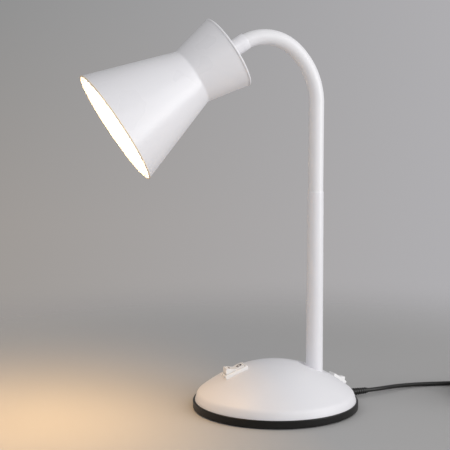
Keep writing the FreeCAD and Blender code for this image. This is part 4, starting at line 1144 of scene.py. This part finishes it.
@dataclass
class Neck:
    """The bendable neck: a smooth sleeve in stretches that each cross one joint."""

    pole_x: float = 35.5
    start_z: float = 191.0
    straight: float = 72.5
    low_arc: float = 62.0
    low_turn: float = 48.0
    high_arc: float = 38.5
    turn: float = 122.7
    radius: float = 6.5
    wall: float = 0.8
    entry: float = 4.2
    below: float = 3.0
    ring_mm: float = 0.9
    sides: int = 56
    search_steps: int = 4000
    bend_share: float = 0.9
    # Stretches bent from the head's side, where the other way round rounding throws them off
    far_first: tuple[int, ...] = (9, 12)

    def length(self) -> float:
        """Work out the length of the neck's centre line.

        Returns:
            The length in millimetres.
        """
        high = self.high_arc * math.radians(self.turn - self.low_turn)
        return self.straight + self.low_arc * math.radians(self.low_turn) + high

    def point(self, distance: float) -> Vector:
        """Find a point of the neck's centre line.

        Args:
            distance: how far it is from the collar along the line, in millimetres. Past either
                end the line runs on straight.

        Returns:
            The point, in millimetres.
        """
        low_end = self.straight + self.low_arc * math.radians(self.low_turn)
        low = min(max(distance - self.straight, 0.0) / self.low_arc, math.radians(self.low_turn))
        high_run = min(max(distance - low_end, 0.0), self.length() - low_end)
        lean = low + high_run / self.high_arc
        x = self.pole_x - self.low_arc * (1 - math.cos(low))
        x -= self.high_arc * (math.cos(low) - math.cos(lean))
        z = self.start_z + min(distance, self.straight) + self.low_arc * math.sin(low)
        z += self.high_arc * (math.sin(lean) - math.sin(low))
        past = max(distance - self.length(), 0.0)
        return Vector((x - past * math.sin(lean), 0, z + past * math.cos(lean)))

    def joints(self, rows: list[dict[str, Any]]) -> list[float]:
        """Work out how far along the neck its joints lie.

        Args:
            rows: the joints' rows of the record, which hold their places.

        Returns:
            The distances from the collar, in millimetres.
        """
        count = self.search_steps
        steps = [self.length() * k / count for k in range(count + 1)]
        line = [self.point(step) for step in steps]
        places = []
        for row in rows:
            at = Vector(row["pos_m"]) / MM
            places.append(steps[min(range(len(line)), key=lambda k: (line[k] - at).length)])
        return places

    def build(self) -> None:
        """Make the sleeve's stretches, and dress the hose inside them."""
        rows = [row for row in frame["joints"] if row["name"].startswith("neck_")]
        places = self.joints(rows)
        middles = [(a + b) / 2 for a, b in zip(places, places[1:])]
        cuts = [-self.below] + middles + [self.length() + self.entry]
        tree = tube_tree()
        for index, row in enumerate(rows):
            piece = self.stretch(index, cuts[index], cuts[index + 1], tree)
            near = self.bend_share * (places[index] - max(cuts[index], 0.0))
            far = self.bend_share * (min(cuts[index + 1], self.length()) - places[index])
            ends = [
                (row["parent"], self.point(places[index] - near) * MM),
                (row["child"], self.point(places[index] + far) * MM),
            ]
            if index + 1 in self.far_first:
                ends.reverse()
            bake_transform(piece)
            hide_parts(f"neck_sleeve_{index:02d}")
            log.info("neck: %s", piece.name)
        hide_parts(f"neck_sleeve_{len(rows):02d}")
        for node in sorted(frame["nodes"]):
            if node.startswith("neck_hose"):
                frame["nodes"][node].data.materials.clear()
                frame["nodes"][node].data.materials.append(CHROME.material())
                log.info("neck: %s", node)

    def stretch(
        self, index: int, start: float, end: float, tree: bpy.types.NodeTree
    ) -> bpy.types.Object:
        """Make one stretch of the sleeve.

        Args:
            index: its number from the collar.
            start: where it starts along the neck, in millimetres.
            end: where it ends.
            tree: the tree that sweeps the skin.

        Returns:
            The stretch as a closed tube.
        """
        count = max(round((end - start) / self.ring_mm), 2)
        step = (end - start) / count
        line = [self.point(start + step * k) * MM for k in range(-1, count + 2)]
        seed = bpy.data.meshes.new("sleeve_line")
        seed.from_pydata(line, [(k, k + 1) for k in range(count + 2)], [])
        return grown(f"neck_sleeve_stretch_{index + 1:02d}", seed, tree, {
            "Radius": self.radius * MM,
            "Sides": self.sides,
            "Spare Rings": 1,
            "Material": WHITE_PVC.material(),
        }, self.wall * MM)


@dataclass
class Head:
    """The ferrule, the hourglass shade with its cap, the lampholder and the lit bulb."""

    nodes: tuple[str, ...] = (
        "neck_ferrule", "shade_cap", "holder_nut", "holder_housing", "holder_insulator",
        "holder_screw_shell", "holder_contact", "bulb_cap", "bulb_glass",
    )
    ferrule: float = 13.0
    shade_length: float = 115.0
    rear_radius: float = 32.6
    mouth_radius: float = 50.5
    rear_bead: float = 1.0
    rear_inset: tuple[float, float] = (0.6, 0.92)
    mouth_bead: float = 0.7
    mouth_inset: tuple[float, float] = (0.52, 0.5)
    collar_radius: float = 7.15
    collar_bore: float = 6.62
    collar_reach: float = 5.0
    collar_round: float = 0.4
    collar_lap: float = 1.0
    collar_proud: float = 0.02
    bead_sides: int = 12
    bead_points: int = 160
    light_size: float = 60.0
    light_ahead: float = 1.0
    light_colour: str = "#FFC262"
    light_power: float = 0.95

    def __post_init__(self) -> None:
        """Work out where the shade's rear rim is, and which way its mouth looks."""
        neck = Neck()
        lean = math.radians(neck.turn)
        self.way = Vector((-math.sin(lean), 0, math.cos(lean)))
        self.start = neck.point(neck.length()) + self.way * self.ferrule

    def build(self) -> None:
        """Dress the head's solids, turn beads on the shade's edges and light its mouth."""
        for node in self.nodes:
            log.info("head: %s", SmoothCopy(node).build().name)
        shade = SmoothCopy("shade").build()
        self.line_inside(shade)
        log.info("head: %s", shade.name)
        tree = tube_tree()
        for name, radius, at, bead, finish in (
            ("shade_rear_bead", self.rear_radius - self.rear_inset[0], self.rear_inset[1],
             self.rear_bead, WHITE_COAT),
            # The mouth bead's coat carries painted warm glow from the bulb
            ("shade_mouth_bead", self.mouth_radius - self.mouth_inset[0],
             self.shade_length - self.mouth_inset[1], self.mouth_bead, GLOW_TINTED_EDGE_COAT),
        ):
            centre = self.start + self.way * at
            log.info("head: %s", self.bead(name, centre, radius, bead, finish, tree).name)
        log.info("head: %s", self.collar().name)
        self.hang_light(shade)

    def line_inside(self, shade: bpy.types.Object) -> None:
        """Give the faces that look at the shade's axis the reflector's coat, whose warmer colour
        is painted warm light of the bulb.

        Args:
            shade: the shade's surface.
        """
        shade.data.materials.append(GLOW_TINTED_INNER_COAT.material())
        for face in shade.data.polygons:
            out = face.center / MM - self.start
            out -= self.way * out.dot(self.way)
            face.material_index = int(face.normal.dot(out) < 0)

    def bead(
        self, name: str, centre: Vector, radius: float, bead: float, finish: Finish,
        tree: bpy.types.NodeTree,
    ) -> bpy.types.Object:
        """Make a rolled bead round the shade.

        Args:
            name: the piece's name.
            centre: the middle of the bead's ring, in millimetres.
            radius: the radius of the bead's middle line, in millimetres.
            bead: the bead's own radius, in millimetres.
            finish: the coat on it.
            tree: the tree that sweeps a skin along a line.

        Returns:
            The bead, on the head.
        """
        turn = self.way.to_track_quat("Z", "Y")
        line = [(centre + turn @ (way * radius)) * MM for way in ways_round(self.bead_points)]
        seed = bpy.data.meshes.new(name + "_seed")
        seed.from_pydata(line, [(k, (k + 1) % len(line)) for k in range(len(line))], [])
        piece = grown(name, seed, tree, {
            "Radius": bead * MM, "Sides": self.bead_sides, "Material": finish.material(),
        })
        return dress(piece, finish, "head")

    def collar(self) -> bpy.types.Object:
        """Make the ferrule's own collar, which runs back over the neck's end.

        Returns:
            The collar, on the head.
        """
        corner = self.collar_round * (1 - math.sqrt(0.5))
        outside = self.collar_radius + self.collar_proud
        profile = (
            (self.collar_bore, -self.collar_lap),
            (self.collar_bore, self.collar_reach),
            (outside - self.collar_round, self.collar_reach),
            (outside - corner, self.collar_reach - corner),
            (outside, self.collar_reach - self.collar_round),
            (outside, -self.collar_lap),
        )
        turn = self.way.to_track_quat("Z", "Y")
        back = self.start - self.way * self.ferrule
        work = bmesh.new()
        join_rows(work, [
            [(back + turn @ way * radius - self.way * reach) * MM for radius, reach in profile]
            for way in ways_round(self.bead_points)
        ])
        bmesh.ops.recalc_face_normals(work, faces=work.faces)
        crease(work, SKIN_CREASE)
        name = "neck_ferrule_collar"
        piece = place_in_scene(name, mesh_of(name, work))
        return dress(piece, WHITE_COAT, "head")

    def hang_light(self, shade: bpy.types.Object) -> None:
        """Let the bulb's warm light fall out of the mouth, from a lamp that rides on the shade.

        Args:
            shade: the shade's surface.
        """
        data = bpy.data.lights.new("mouth_light", "AREA")
        data.shape = "DISK"
        data.size = self.light_size * MM
        data.energy = self.light_power
        data.color = linear(self.light_colour)[:3]
        light = bpy.data.objects.new("mouth_light", data)
        bpy.context.scene.collection.objects.link(light)
        light.visible_camera = False
        light.parent = shade
        light.location = (self.start + self.way * (self.shade_length + self.light_ahead)) * MM
        light.rotation_euler = self.way.to_track_quat("-Z", "Y").to_euler()


def main() -> None:
    """Build the studio and the lamp's sub-assemblies in order."""
    logging.basicConfig(level=logging.INFO, format="%(name)s: %(message)s")
    view = bpy.context.scene.view_settings
    view.view_transform = "Standard"
    Studio().build()
    for part in (MainsLead(), Base(), Pole(), Neck(), Head()):
        part.build()
        log.info("built %s", type(part).__name__)


if __name__ == "__main__":
    main()
